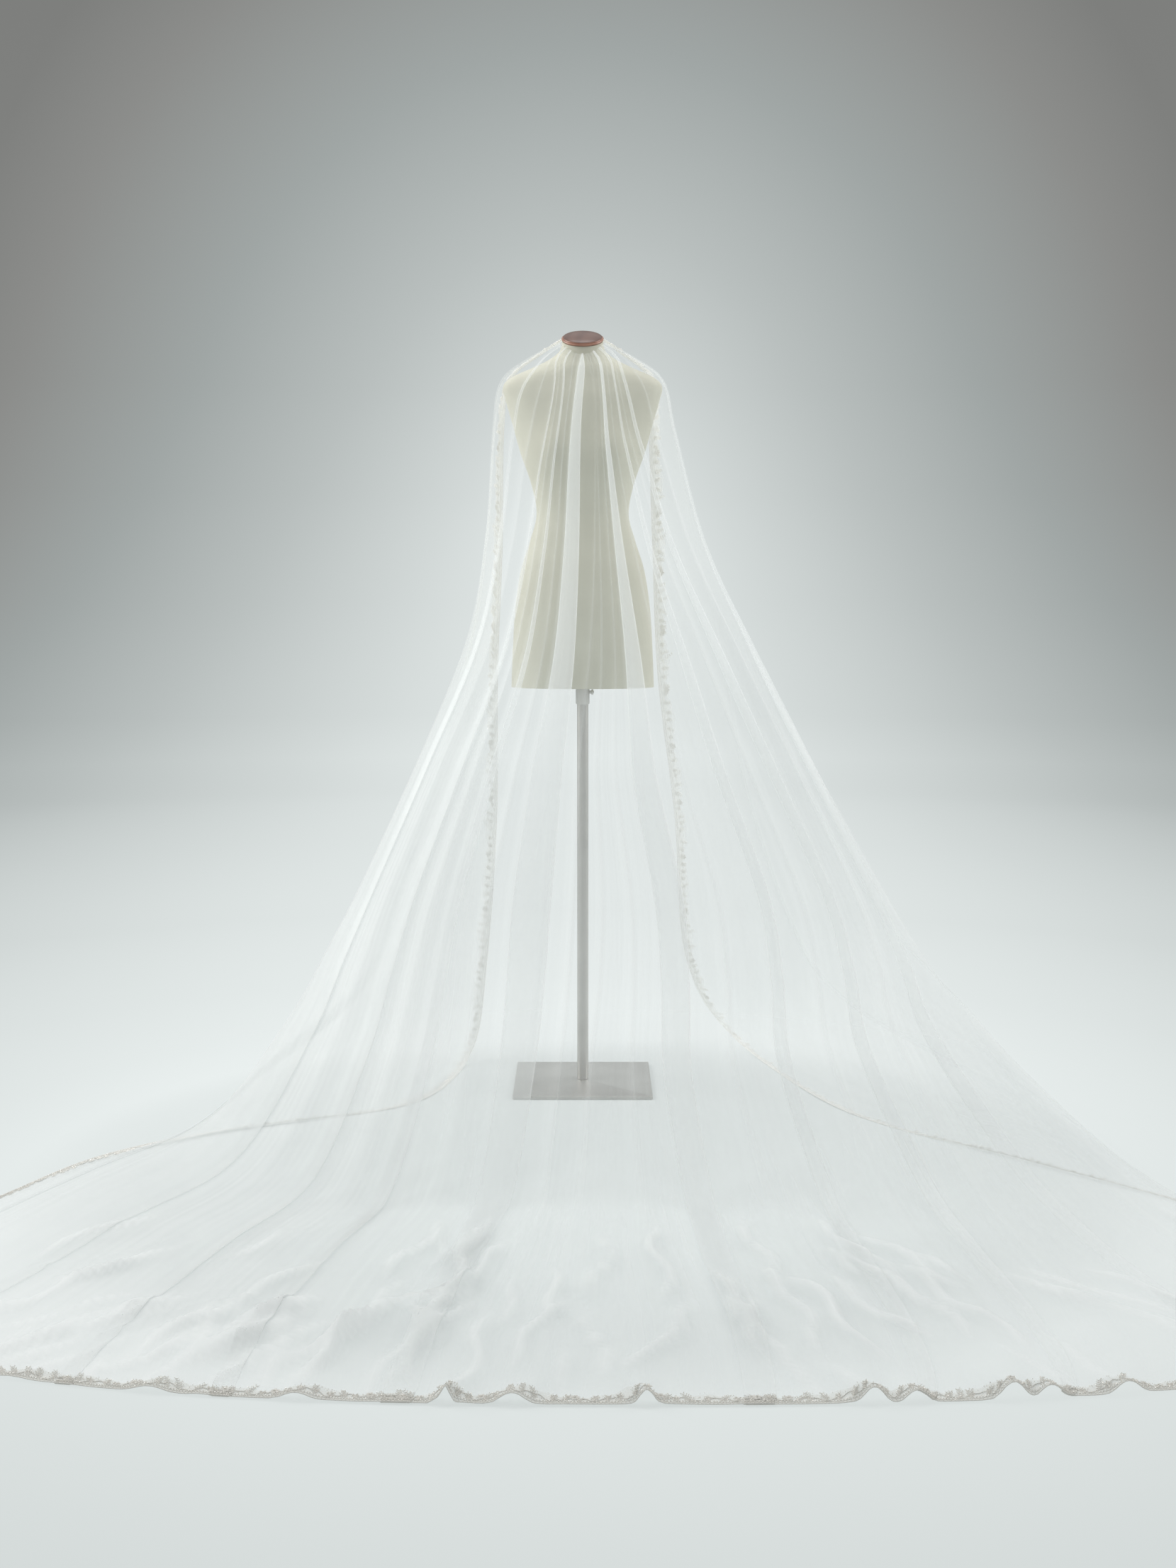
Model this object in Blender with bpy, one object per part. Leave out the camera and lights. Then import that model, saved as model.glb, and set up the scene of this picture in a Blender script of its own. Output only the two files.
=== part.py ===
"""A cathedral bridal veil draped on a limbless dress form, which stands on a pole and a square steel plate.

Metres, +Z up. The origin is in the middle of the base plate's underside, under the pole. The form faces -Y, and the
train runs out over the floor that way. The veil is one tulle panel with a lace edging: it is gathered round the
form's neck, passes over the shoulders, stays open behind, and its lace edges meet at the back of the neck.
"""

from bisect import bisect_left
from collections import namedtuple
from math import cos, exp, pi, radians, sin

import bmesh
import bpy
from mathutils import Vector

# Clearances between pieces that rest on each other
SEAT_GAP = 0.0003

# Stand
PLATE_SIDE = 0.33
PLATE_THICKNESS = 0.008
PLATE_CHAMFER = 0.0015
POLE_RADIUS = 0.0135
POLE_SIDES = 32
COLLAR_WALL = 0.0027
COLLAR_HEIGHT = 0.041
COLLAR_CHAMFER = 0.001
SCREW_RADIUS = 0.004
SCREW_HEAD_RADIUS = 0.0065
SCREW_HEAD_LENGTH = 0.006
SCREW_SHANK_LENGTH = 0.004

# Dress form
TORSO_BOTTOM = 0.963
TORSO_SIDES = 40
TORSO_ROWS_PER_LEVEL = 2
TORSO_ROUNDNESS = 2.15
BUST_HEIGHT = 1.515
BUST_SPREAD = 0.072
BUST_RISE = 0.020
BUST_REACH_ACROSS = 0.042
BUST_REACH_UP = 0.055
CAP_RADIUS = 0.0485
CAP_RIM_HEIGHT = 0.006
CAP_DOME_HEIGHT = 0.014
CAP_SIDES = 40
CAP_DOME_STEPS = 5

# Veil
WALL = 0.0012
LACE_WIDTH = 0.050
LACE_NARROW = 0.030
LACE_THICKNESS = 0.0012
FLOOR_LINE = WALL / 2 + SEAT_GAP + LACE_THICKNESS
SCALLOP_LENGTH = 0.145
BASE_SAMPLES = 48
FOLD_ROOM = 0.92

TorsoLevel = namedtuple("TorsoLevel", "z half_width front back tilt")
TORSO = (
    TorsoLevel(TORSO_BOTTOM, 0.170, 0.112, 0.112, 0),
    TorsoLevel(1.060, 0.166, 0.114, 0.118, 0),
    TorsoLevel(1.150, 0.160, 0.112, 0.120, 0),
    TorsoLevel(1.240, 0.146, 0.102, 0.106, 0),
    TorsoLevel(1.310, 0.124, 0.088, 0.082, 0),
    TorsoLevel(1.372, 0.109, 0.079, 0.068, 0),
    TorsoLevel(1.440, 0.121, 0.084, 0.073, 0),
    TorsoLevel(1.515, 0.147, 0.092, 0.086, 0),
    TorsoLevel(1.580, 0.165, 0.088, 0.093, 0),
    TorsoLevel(1.635, 0.181, 0.078, 0.090, 1),
    TorsoLevel(1.668, 0.187, 0.068, 0.081, 3),
    TorsoLevel(1.690, 0.166, 0.062, 0.074, 6),
    TorsoLevel(1.710, 0.120, 0.059, 0.068, 11),
    TorsoLevel(1.728, 0.080, 0.057, 0.062, 17),
    TorsoLevel(1.745, 0.056, 0.053, 0.055, 22),
    TorsoLevel(1.760, 0.050, 0.050, 0.050, 25),
    TorsoLevel(1.775, 0.0480, 0.0480, 0.0480, 25),
)

# The veil's cross-sections from the neckline to the hem. The centre line is the middle of the front.
Centre = namedtuple("Centre", "station x y z roundness")
CENTRE = (
    Centre("neckline", 0.000, -0.0472, 1.7370, 2.0),
    Centre("collarbone", 0.000, -0.0650, 1.6970, 2.0),
    Centre("shoulder", 0.000, -0.0890, 1.6200, 2.1),
    Centre("bust", 0.000, -0.1210, 1.5000, 2.2),
    Centre("waist", 0.000, -0.1750, 1.2800, 2.2),
    Centre("hip", 0.000, -0.2500, 1.0400, 2.2),
    Centre("thigh", 0.000, -0.3550, 0.7900, 2.2),
    Centre("knee", 0.010, -0.4900, 0.5300, 2.3),
    Centre("shin", 0.015, -0.5900, 0.3600, 2.3),
    Centre("calf", 0.020, -0.7200, 0.2000, 2.3),
    Centre("landing", 0.030, -0.9600, 0.0000, 2.4),
    Centre("near train", 0.050, -1.2500, 0.0000, 2.4),
    Centre("far train", 0.075, -1.5500, 0.0000, 2.5),
    Centre("hem", 0.100, -1.8460, 0.0000, 2.5),
)
STATION = {row.station: number for number, row in enumerate(CENTRE)}

# Where each cross-section turns back at the side, and where it ends at the lace edge. Bulge 1 is a quarter of an
# ellipse between the two, 0 a straight line, and less than 0 curves the other way.
Flank = namedtuple("Flank", "side_x side_y side_z edge_x edge_y edge_z bulge")
LEFT = (
    Flank(-0.0514, 0.002, 1.7660, -0.0120, 0.0535, 1.8020, 1.0),
    Flank(-0.1250, 0.008, 1.7300, -0.0950, 0.0700, 1.7520, 1.0),
    Flank(-0.1890, 0.000, 1.6740, -0.1700, 0.0760, 1.6900, 1.0),
    Flank(-0.2060, -0.005, 1.5600, -0.1880, 0.0600, 1.5600, 0.9),
    Flank(-0.2230, 0.000, 1.3200, -0.1930, 0.0660, 1.2900, 0.9),
    Flank(-0.2660, -0.030, 1.0800, -0.2080, 0.1100, 0.9800, 0.9),
    Flank(-0.3750, -0.090, 0.8100, -0.2150, 0.1900, 0.6300, 0.7),
    Flank(-0.5000, -0.180, 0.5300, -0.2450, 0.2500, 0.2500, 0.5),
    Flank(-0.5700, -0.240, 0.3900, -0.2850, 0.2000, 0.0200, 0.3),
    Flank(-0.6450, -0.340, 0.2500, -0.4000, -0.2050, 0.0000, 0.3),
    Flank(-0.7900, -0.600, 0.0750, -0.8000, -0.4250, 0.0000, 0.3),
    Flank(-0.9850, -0.810, 0.0200, -1.0200, -0.6200, 0.0000, 0.3),
    Flank(-1.1500, -1.070, 0.0000, -1.1500, -0.8900, 0.0000, 0.1),
    Flank(-1.3000, -1.320, 0.0000, -1.2700, -1.1300, 0.0000, 1.0),
)
RIGHT = (
    Flank(0.0505, 0.000, 1.7660, 0.0120, 0.0520, 1.8020, 1.0),
    Flank(0.1250, 0.008, 1.7300, 0.0880, 0.0720, 1.7540, 1.0),
    Flank(0.1890, 0.000, 1.6760, 0.1560, 0.1050, 1.6960, 1.0),
    Flank(0.2150, -0.005, 1.5600, 0.1600, 0.1150, 1.5600, 1.0),
    Flank(0.2850, -0.025, 1.3000, 0.1700, 0.1300, 1.2900, 0.9),
    Flank(0.3900, -0.090, 1.0700, 0.1850, 0.1600, 0.9800, 0.7),
    Flank(0.5150, -0.220, 0.8200, 0.2300, 0.2100, 0.6300, 0.4),
    Flank(0.6600, -0.410, 0.5400, 0.2650, 0.3000, 0.2500, 0.5),
    Flank(0.7300, -0.520, 0.4150, 0.3900, 0.3900, 0.0250, 0.4),
    Flank(0.8100, -0.640, 0.3000, 0.6000, -0.2600, 0.0000, 0.4),
    Flank(0.9900, -0.850, 0.1300, 0.9300, -0.6450, 0.0000, 0.4),
    Flank(1.1400, -1.020, 0.0300, 1.1200, -0.8500, 0.0000, 0.4),
    Flank(1.2900, -1.210, 0.0000, 1.2700, -1.0300, 0.0000, 0.3),
    Flank(1.4300, -1.420, 0.0000, 1.3900, -1.2200, 0.0000, 1.0),
)

# A fold's place runs from -2 at the left lace edge, through -1 at the left side, 0 at the middle of the front and
# 1 at the right side, to 2 at the right lace edge. Neck, thigh and hem are the stations where each value holds.
Pleat = namedtuple("Pleat", "at_neck at_thigh at_hem width_neck width_thigh width_hem")
PLEATS = {
    "left_back": Pleat(-1.17, -1.40, -1.30, 0.004, 0.020, 0.024),
    "left_side": Pleat(-0.90, -0.86, -0.62, 0.004, 0.030, 0.026),
    "left_arm": Pleat(-0.68, -0.60, -0.39, 0.004, 0.026, 0.026),
    "left_bust": Pleat(-0.45, -0.40, -0.25, 0.004, 0.022, 0.030),
    "left_centre": Pleat(0.00, -0.13, -0.125, 0.004, 0.066, 0.044),
    "right_centre": Pleat(0.45, 0.25, 0.049, 0.004, 0.054, 0.044),
    "right_bust": Pleat(0.70, 0.44, 0.154, 0.004, 0.022, 0.028),
    "right_arm": Pleat(0.92, 0.68, 0.265, 0.004, 0.026, 0.026),
    "right_side": Pleat(1.17, 0.92, 0.45, 0.004, 0.030, 0.026),
}
Ridge = namedtuple("Ridge", "at_neck at_thigh at_hem reach_neck reach_thigh reach_hem rise_neck rise_thigh rise_hem")
RIDGES = {
    "left_edge": Ridge(-1.27, -1.70, -1.62, 0.003, 0.030, 0.040, 0.001, 0.010, 0.012),
    "left_hollow": Ridge(-1.05, -1.14, -0.90, 0.003, 0.035, 0.060, 0.001, 0.014, 0.012),
    "left_flank": Ridge(-0.79, -0.73, -0.50, 0.003, 0.030, 0.055, 0.001, 0.014, 0.014),
    "left_breast": Ridge(-0.565, -0.50, -0.32, 0.003, 0.024, 0.045, 0.001, 0.012, 0.016),
    "left_hip": Ridge(-0.22, -0.27, -0.18, 0.004, 0.024, 0.045, 0.001, 0.012, 0.020),
    "left_loop": Ridge(0.12, -0.02, -0.085, 0.003, 0.022, 0.024, 0.001, 0.010, 0.024),
    "centre_left": Ridge(0.21, 0.055, -0.050, 0.003, 0.022, 0.040, 0.001, 0.009, 0.014),
    "centre": Ridge(0.32, 0.13, 0.000, 0.003, 0.022, 0.040, 0.001, 0.010, 0.024),
    "right_hip": Ridge(0.575, 0.345, 0.111, 0.003, 0.020, 0.050, 0.001, 0.010, 0.030),
    "right_breast": Ridge(0.81, 0.56, 0.225, 0.003, 0.022, 0.040, 0.001, 0.012, 0.028),
    "right_flank": Ridge(1.04, 0.80, 0.330, 0.003, 0.028, 0.045, 0.001, 0.014, 0.028),
    "right_hollow": Ridge(1.27, 1.25, 0.80, 0.003, 0.030, 0.050, 0.001, 0.010, 0.018),
    "right_edge": Ridge(1.35, 1.60, 1.30, 0.002, 0.030, 0.050, 0.001, 0.012, 0.020),
}
# Half the distance between a pleat's first and last layer, and how far its outer layer takes to rise
LAYER_GAP = (0.0026, 0.0042, 0.0066)
PLEAT_RAMP = (0.003, 0.014, 0.030)

# One step of a fold's profile: shares of its width and of the layer gap along the cloth, of its ramp, and its height
Step = namedtuple("Step", "width gap ramp height")
PLEAT_STEPS = (
    Step(-0.5, -0.5, -1.0, 0.0),
    Step(-0.5, -0.5, 0.0, 2.0),
    Step(0.5, 0.0, 0.0, 2.0),
    Step(0.5, 0.5, 0.0, 1.5),
    Step(0.5, 0.0, 0.0, 1.0),
    Step(-0.5, 0.0, 0.0, 1.0),
    Step(-0.5, -0.5, 0.0, 0.5),
    Step(-0.5, 0.0, 0.0, 0.0),
    Step(0.5, 0.0, 0.0, 0.0),
)
RIDGE_STEPS = (-1.0, -0.45, 0.0, 0.45)

# The stations, and shares of the way between two of them, at which the wall has a row of points
ROWS = (0, 0.5, 1, 1.5, 2, 2.5, 3, 4, 5, 6, 7, 8, 8.5, 9, 9.5, 10, 10.5, 11, 12, 13)

Finish = namedtuple("Finish", "red green blue roughness metallic alpha")
FINISHES = {
    "tulle": Finish(0.93, 0.95, 0.95, 0.70, 0.0, 0.55),
    "lace": Finish(0.80, 0.79, 0.75, 0.45, 0.0, 1.0),
    "linen": Finish(0.80, 0.79, 0.66, 0.90, 0.0, 1.0),
    "wood": Finish(0.22, 0.12, 0.09, 0.35, 0.0, 1.0),
    "steel": Finish(0.52, 0.51, 0.49, 0.38, 1.0, 1.0),
}


def clear_scene():
    """Starts from an empty scene."""
    for thing in list(bpy.data.objects):
        bpy.data.objects.remove(thing)


def material(name):
    """The named finish as a Principled material."""
    finish = FINISHES[name]
    made = bpy.data.materials.get(name) or bpy.data.materials.new(name)
    made.use_nodes = True
    shader = made.node_tree.nodes["Principled BSDF"]
    shader.inputs["Base Color"].default_value = (finish.red, finish.green, finish.blue, 1.0)
    shader.inputs["Roughness"].default_value = finish.roughness
    shader.inputs["Metallic"].default_value = finish.metallic
    shader.inputs["Alpha"].default_value = finish.alpha
    made.diffuse_color = (finish.red, finish.green, finish.blue, finish.alpha)
    return made


def piece(name, mesh_builder, finish, sharp_degrees=35):
    """A named object from a filled bmesh, shaded smooth up to an angle."""
    mesh = bpy.data.meshes.new(name)
    bmesh.ops.recalc_face_normals(mesh_builder, faces=mesh_builder.faces)
    mesh_builder.to_mesh(mesh)
    mesh_builder.free()
    mesh.shade_smooth()
    mesh.set_sharp_from_angle(angle=radians(sharp_degrees))
    mesh.materials.append(material(finish))
    made = bpy.data.objects.new(name, mesh)
    bpy.context.collection.objects.link(made)
    return made


def smooth_value(values, place):
    """The value at a fractional place in an evenly spaced list, on a Catmull-Rom curve."""
    last = len(values) - 1
    first = min(int(place), last - 1)
    share = place - first
    before, start, end, after = (values[min(max(first + k, 0), last)] for k in (-1, 0, 1, 2))
    return 0.5 * (
        2 * start
        + (end - before) * share
        + (2 * before - 5 * start + 4 * end - after) * share**2
        + (3 * start - before - 3 * end + after) * share**3
    )


def column(table, name, place):
    """A named column of a table, read at a fractional row."""
    return smooth_value([getattr(row, name) for row in table], place)


def squircle(angle, roundness):
    """Sine and cosine of an angle on a superellipse."""
    power = 2 / roundness
    across, along = sin(angle), cos(angle)
    return (
        abs(across) ** power * (1 if across >= 0 else -1),
        abs(along) ** power * (1 if along >= 0 else -1),
    )


def torso_ring(place):
    """One horizontal or tilted section of the torso."""
    z, half_width, front, back, tilt = (column(TORSO, name, place) for name in TorsoLevel._fields)
    ring = []
    for number in range(TORSO_SIDES):
        across, along = squircle(2 * pi * number / TORSO_SIDES, TORSO_ROUNDNESS)
        x = half_width * across
        y = -front * along if along > 0 else -back * along
        if along > 0:
            sideways = (abs(x) - BUST_SPREAD) / BUST_REACH_ACROSS
            upward = (z - BUST_HEIGHT) / BUST_REACH_UP
            y -= BUST_RISE * along**0.5 * exp(-(sideways**2) - upward**2)
        ring.append(Vector((x, y * cos(radians(tilt)), z + y * sin(radians(tilt)))))
    return ring


def loft(rings):
    """A closed bmesh through rings of points, with both ends filled."""
    made = bmesh.new()
    loops = [[made.verts.new(point) for point in ring] for ring in rings]
    for lower, upper in zip(loops, loops[1:]):
        for number in range(len(lower)):
            after = (number + 1) % len(lower)
            made.faces.new((lower[number], lower[after], upper[after], upper[number]))
    made.faces.new(loops[0])
    made.faces.new(loops[-1])
    return made


def turned(profile, sides):
    """A closed bmesh made by spinning a profile of (radius, height) points round the Z axis."""
    made = bmesh.new()
    points = [made.verts.new((radius, 0, height)) for radius, height in profile]
    edges = [made.edges.new(pair) for pair in zip(points, points[1:])]
    bmesh.ops.spin(
        made,
        geom=points + edges,
        cent=(0, 0, 0),
        axis=(0, 0, 1),
        angle=2 * pi,
        steps=sides,
        use_merge=True,
    )
    bmesh.ops.remove_doubles(made, verts=made.verts, dist=1e-6)
    return made


def build_plate():
    """The square steel base."""
    made = bmesh.new()
    bmesh.ops.create_cube(made, size=1.0)
    bmesh.ops.scale(made, vec=(PLATE_SIDE, PLATE_SIDE, PLATE_THICKNESS), verts=made.verts)
    bmesh.ops.translate(made, vec=(0, 0, PLATE_THICKNESS / 2), verts=made.verts)
    plate = piece("base_plate", made, "steel")
    chamfer = plate.modifiers.new("chamfer", "BEVEL")
    chamfer.width = PLATE_CHAMFER
    chamfer.segments = 2
    chamfer.limit_method = "ANGLE"


def build_pole():
    """The pole from the plate up into the collar."""
    bottom = PLATE_THICKNESS + SEAT_GAP
    top = TORSO_BOTTOM - SEAT_GAP
    profile = ((0, top), (POLE_RADIUS, top), (POLE_RADIUS, bottom), (0, bottom))
    piece("pole", turned(profile, POLE_SIDES), "steel")


def build_collar():
    """The socket under the torso, round the pole, and its set screw."""
    inner = POLE_RADIUS + SEAT_GAP
    outer = inner + COLLAR_WALL
    top = TORSO_BOTTOM - SEAT_GAP
    bottom = top - COLLAR_HEIGHT
    profile = (
        (inner, top),
        (outer, top),
        (outer, bottom + COLLAR_CHAMFER),
        (outer - COLLAR_CHAMFER, bottom),
        (inner, bottom),
        (inner, top),
    )
    piece("collar", turned(profile, POLE_SIDES), "steel")
    start = outer + SEAT_GAP
    shank_end = start + SCREW_SHANK_LENGTH
    head_end = shank_end + SCREW_HEAD_LENGTH
    screw_profile = (
        (0, head_end),
        (SCREW_HEAD_RADIUS, head_end),
        (SCREW_HEAD_RADIUS, shank_end),
        (SCREW_RADIUS, shank_end),
        (SCREW_RADIUS, start),
        (0, start),
    )
    screw = piece("collar_screw", turned(screw_profile, 16), "steel")
    screw.rotation_euler = (0, pi / 2, 0)
    screw.location = (0, 0, top - COLLAR_HEIGHT * 0.3)


def build_torso():
    """The linen-covered torso with its neck."""
    last = len(TORSO) - 1
    count = last * TORSO_ROWS_PER_LEVEL
    rings = [torso_ring(number / TORSO_ROWS_PER_LEVEL) for number in range(count + 1)]
    piece("torso", loft(rings), "linen", sharp_degrees=50)


def build_cap():
    """The turned wooden cap on the tilted neck."""
    base = SEAT_GAP
    shoulder = base + CAP_RIM_HEIGHT
    dome = [
        (
            (CAP_RADIUS - 0.002) * cos(pi / 2 * step / CAP_DOME_STEPS),
            shoulder + CAP_DOME_HEIGHT * sin(pi / 2 * step / CAP_DOME_STEPS),
        )
        for step in range(CAP_DOME_STEPS, -1, -1)
    ]
    dome[0] = (0, dome[0][1])
    rim = [
        (CAP_RADIUS, shoulder - 0.001),
        (CAP_RADIUS + 0.001, base + CAP_RIM_HEIGHT / 2),
        (CAP_RADIUS, base + 0.001),
        (CAP_RADIUS - 0.002, base),
        (0, base),
    ]
    cap = piece("neck_cap", turned(dome + rim, CAP_SIDES), "wood")
    top = TORSO[-1]
    cap.rotation_euler = (radians(top.tilt), 0, 0)
    cap.location = (0, 0, top.z)


class Section:
    """The veil's smooth cross-section at a fractional station, from the left lace edge to the right one."""

    def __init__(self, place):
        self.points = []
        self.marks = []
        for number in range(-2 * BASE_SAMPLES, 2 * BASE_SAMPLES + 1):
            mark = number / BASE_SAMPLES
            self.marks.append(mark)
            self.points.append(self.base_point(place, mark))
        self.lengths = [0.0]
        for first, second in zip(self.points, self.points[1:]):
            self.lengths.append(self.lengths[-1] + (second - first).length)

    @staticmethod
    def base_point(place, mark):
        """A quarter of a superellipse from the front to the side, then a quarter ellipse back to the edge."""
        flank = LEFT if mark < 0 else RIGHT
        middle = Vector([column(CENTRE, name, place) for name in "xyz"])
        side = Vector([column(flank, f"side_{name}", place) for name in "xyz"])
        share = abs(mark)
        if share <= 1:
            across, along = squircle(share * pi / 2, column(CENTRE, "roundness", place))
            x = middle.x + (side.x - middle.x) * across
            y = side.y + (middle.y - side.y) * along
            z = middle.z + (side.z - middle.z) * sin(share * pi / 2) ** 2
        else:
            edge = Vector([column(flank, f"edge_{name}", place) for name in "xyz"])
            bulge = column(flank, "bulge", place)
            turn = (share - 1) * pi / 2
            straight = side.lerp(edge, share - 1)
            x = straight.x + (edge.x + (side.x - edge.x) * cos(turn) - straight.x) * bulge
            y = straight.y + (side.y + (edge.y - side.y) * sin(turn) - straight.y) * bulge
            z = side.z + (edge.z - side.z) * sin(turn) ** 2
        return Vector((x, y, max(z, 0.0) + FLOOR_LINE))

    def length_at(self, mark):
        """Distance along the section from the left edge to a fold's place."""
        return self.between(self.marks, self.lengths, mark)

    def point_at(self, length):
        """The point of the section at a distance from the left edge."""
        return self.between(self.lengths, self.points, length)

    @staticmethod
    def between(keys, values, key):
        """Linear reading of values against rising keys."""
        after = min(max(bisect_left(keys, key), 1), len(keys) - 1)
        low, high = keys[after - 1], keys[after]
        share = min(max((key - low) / (high - low), 0.0), 1.0)
        return values[after - 1] + (values[after] - values[after - 1]) * share


def staged(neck, thigh, hem, place):
    """A fold's value at a station, from its values at the neck, the thigh and the hem."""
    middle, last = STATION["thigh"], STATION["hem"]
    if place <= middle:
        return neck + (thigh - neck) * place / middle
    return thigh + (hem - thigh) * (place - middle) / (last - middle)


def pleat_profile(pleat, place):
    """Offset along the cloth from the pleat's middle, and height, of each column of a three-layer pleat."""
    width = staged(pleat.width_neck, pleat.width_thigh, pleat.width_hem, place)
    gap = staged(*LAYER_GAP, place)
    ramp = staged(*PLEAT_RAMP, place)
    return [
        (step.width * width + step.gap * gap + step.ramp * ramp, step.height * gap) for step in PLEAT_STEPS
    ]


def ridge_profile(ridge, place):
    """Offset along the cloth from the ridge's middle, and height, of each column of a soft ridge."""
    reach = staged(ridge.reach_neck, ridge.reach_thigh, ridge.reach_hem, place)
    rise = staged(ridge.rise_neck, ridge.rise_thigh, ridge.rise_hem, place)
    return [(step * reach, rise * cos(step * pi / 2) ** 2) for step in RIDGE_STEPS]


def veil_columns(place, section):
    """All columns of one row: the lace edges, and every fold in order along the cloth.

    Where two neighbouring folds would meet, both are narrowed to share the room between their middles.
    """
    total = section.lengths[-1]
    lace = lace_width(place)
    folds = [(fold, pleat_profile(fold, place)) for fold in PLEATS.values()]
    folds += [(fold, ridge_profile(fold, place)) for fold in RIDGES.values()]
    folds.sort(key=lambda entry: entry[0].at_thigh)
    middles = [lace]
    reaches = [0.0]
    for fold, profile in folds:
        share = section.length_at(staged(fold.at_neck, fold.at_thigh, fold.at_hem, place)) / total
        middles.append(lace + (total - 2 * lace) * share)
        reaches.append(max(abs(offset) for offset, _ in profile))
    middles.append(total - lace)
    reaches.append(0.0)
    row = [(0.0, 0.0), (lace, 0.0)]
    for number, (_, profile) in enumerate(folds, start=1):
        squeeze = 1.0
        for other in (number - 1, number + 1):
            room = abs(middles[number] - middles[other])
            squeeze = min(squeeze, FOLD_ROOM * room / (reaches[number] + reaches[other]))
        row += [(middles[number] + offset * squeeze, height) for offset, height in profile]
    return row + [(total - lace, 0.0), (total, 0.0)]


def lace_width(place):
    """Width of the column of cloth under the lace: narrower where the edges meet behind the neck."""
    return staged(LACE_WIDTH * 0.8, LACE_WIDTH, LACE_WIDTH, place)


def folded_sheet():
    """The veil's middle surface as rows of points, with a normal at each point."""
    sections = [Section(place) for place in ROWS]
    rows = []
    for number, (place, section) in enumerate(zip(ROWS, sections)):
        above = sections[max(number - 1, 0)]
        below = sections[min(number + 1, len(sections) - 1)]
        row = []
        for length, height in veil_columns(place, section):
            share = length / section.lengths[-1]
            step = 0.004
            along = section.point_at(length + step) - section.point_at(length - step)
            down = below.point_at(share * below.lengths[-1]) - above.point_at(share * above.lengths[-1])
            row.append(section.point_at(length) + down.cross(along).normalized() * height)
        rows.append(row)
    rows.insert(-1, lace_row(rows))
    return rows, sheet_normals(rows), sheet_triangles(len(rows))


def sheet_triangles(high):
    """Both triangles of each quad, as (row, column) corners.

    Where a pleat's cloth runs back, the quad is cut the other way, so that all its layers are cut alike.
    """
    columns = [length for length, _ in veil_columns(0, Section(0))]
    cut = {}
    for j, (here, after) in enumerate(zip(columns, columns[1:])):
        for i in range(high - 1):
            a, b, c, d = (i, j), (i + 1, j), (i, j + 1), (i + 1, j + 1)
            cut[a] = ((a, b, c), (c, b, d)) if after > here else ((a, b, d), (a, d, c))
    return cut


def lace_row(rows):
    """The row of points under the lace's inner edge, set in from the hem by the lace's scalloped width."""
    travelled = 0.0
    made = []
    for j, (above, hem) in enumerate(zip(rows[-2], rows[-1])):
        travelled += (hem - rows[-1][max(j - 1, 0)]).length
        width = min(scalloped_width(travelled), 0.8 * (above - hem).length)
        made.append(hem + (above - hem).normalized() * width)
    return made


def scalloped_width(distance):
    """The lace's width at a distance along it."""
    return LACE_NARROW + (LACE_WIDTH - LACE_NARROW) * (0.5 + 0.5 * cos(2 * pi * distance / SCALLOP_LENGTH))


def sheet_normals(rows):
    """Normals of a grid of points, on the side away from the form."""
    normals = []
    for i, row in enumerate(rows):
        above, below = rows[max(i - 1, 0)], rows[min(i + 1, len(rows) - 1)]
        normals.append([])
        for j in range(len(row)):
            along = row[min(j + 1, len(row) - 1)] - row[max(j - 1, 0)]
            normals[-1].append((below[j] - above[j]).cross(along).normalized())
    return normals


def build_veil(rows, normals, triangles):
    """The tulle panel as one thin wall."""
    high, wide = len(rows), len(rows[0])
    rim = [(i, 0) for i in range(high)]
    rim += [(high - 1, j) for j in range(1, wide)]
    rim += [(i, wide - 1) for i in range(high - 2, -1, -1)]
    rim += [(0, j) for j in range(wide - 2, 0, -1)]
    build_layer("veil_panel", "tulle", rows, normals, triangles.values(), rim, -WALL / 2, WALL / 2)


def build_lace(rows, normals, triangles):
    """The lace edging on the outside of the panel: down the left edge, round the hem and up the right edge."""
    last_row, last_column = len(rows) - 1, len(rows[0]) - 1
    quads = [(i, 0) for i in range(last_row - 1)]
    quads += [(last_row - 1, j) for j in range(last_column)]
    quads += [(i, last_column - 1) for i in range(last_row - 2, -1, -1)]
    rim = [(i, 0) for i in range(last_row)]
    rim += [(last_row, j) for j in range(last_column)]
    rim += [(i, last_column) for i in range(last_row, -1, -1)]
    rim += [(i, last_column - 1) for i in range(last_row)]
    rim += [(last_row - 1, j) for j in range(last_column - 2, 0, -1)]
    rim += [(i, 1) for i in range(last_row - 2, -1, -1)]
    low = WALL / 2 + SEAT_GAP
    chosen = [triangles[quad] for quad in quads]
    build_layer("lace_edging", "lace", rows, normals, chosen, rim, low, low + LACE_THICKNESS)


def build_layer(name, finish, rows, normals, quads, rim, low, high):
    """A closed wall between two distances from the sheet's middle surface, over the chosen quads."""
    made = bmesh.new()
    places = dict.fromkeys(place for quad in quads for triangle in quad for place in triangle)
    top, bottom = (
        {(i, j): made.verts.new(rows[i][j] + normals[i][j] * distance) for i, j in places}
        for distance in (high, low)
    )
    for quad in quads:
        for a, b, c in quad:
            made.faces.new((top[a], top[b], top[c]))
            made.faces.new((bottom[c], bottom[b], bottom[a]))
    for a, b in zip(rim, rim[1:] + rim[:1]):
        made.faces.new((top[b], top[a], bottom[a]))
        made.faces.new((top[b], bottom[a], bottom[b]))
    piece(name, made, finish, sharp_degrees=70)


def main():
    """Builds every piece."""
    clear_scene()
    build_plate()
    build_pole()
    build_collar()
    build_torso()
    build_cap()
    rows, normals, triangles = folded_sheet()
    build_veil(rows, normals, triangles)
    build_lace(rows, normals, triangles)


main()
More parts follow.
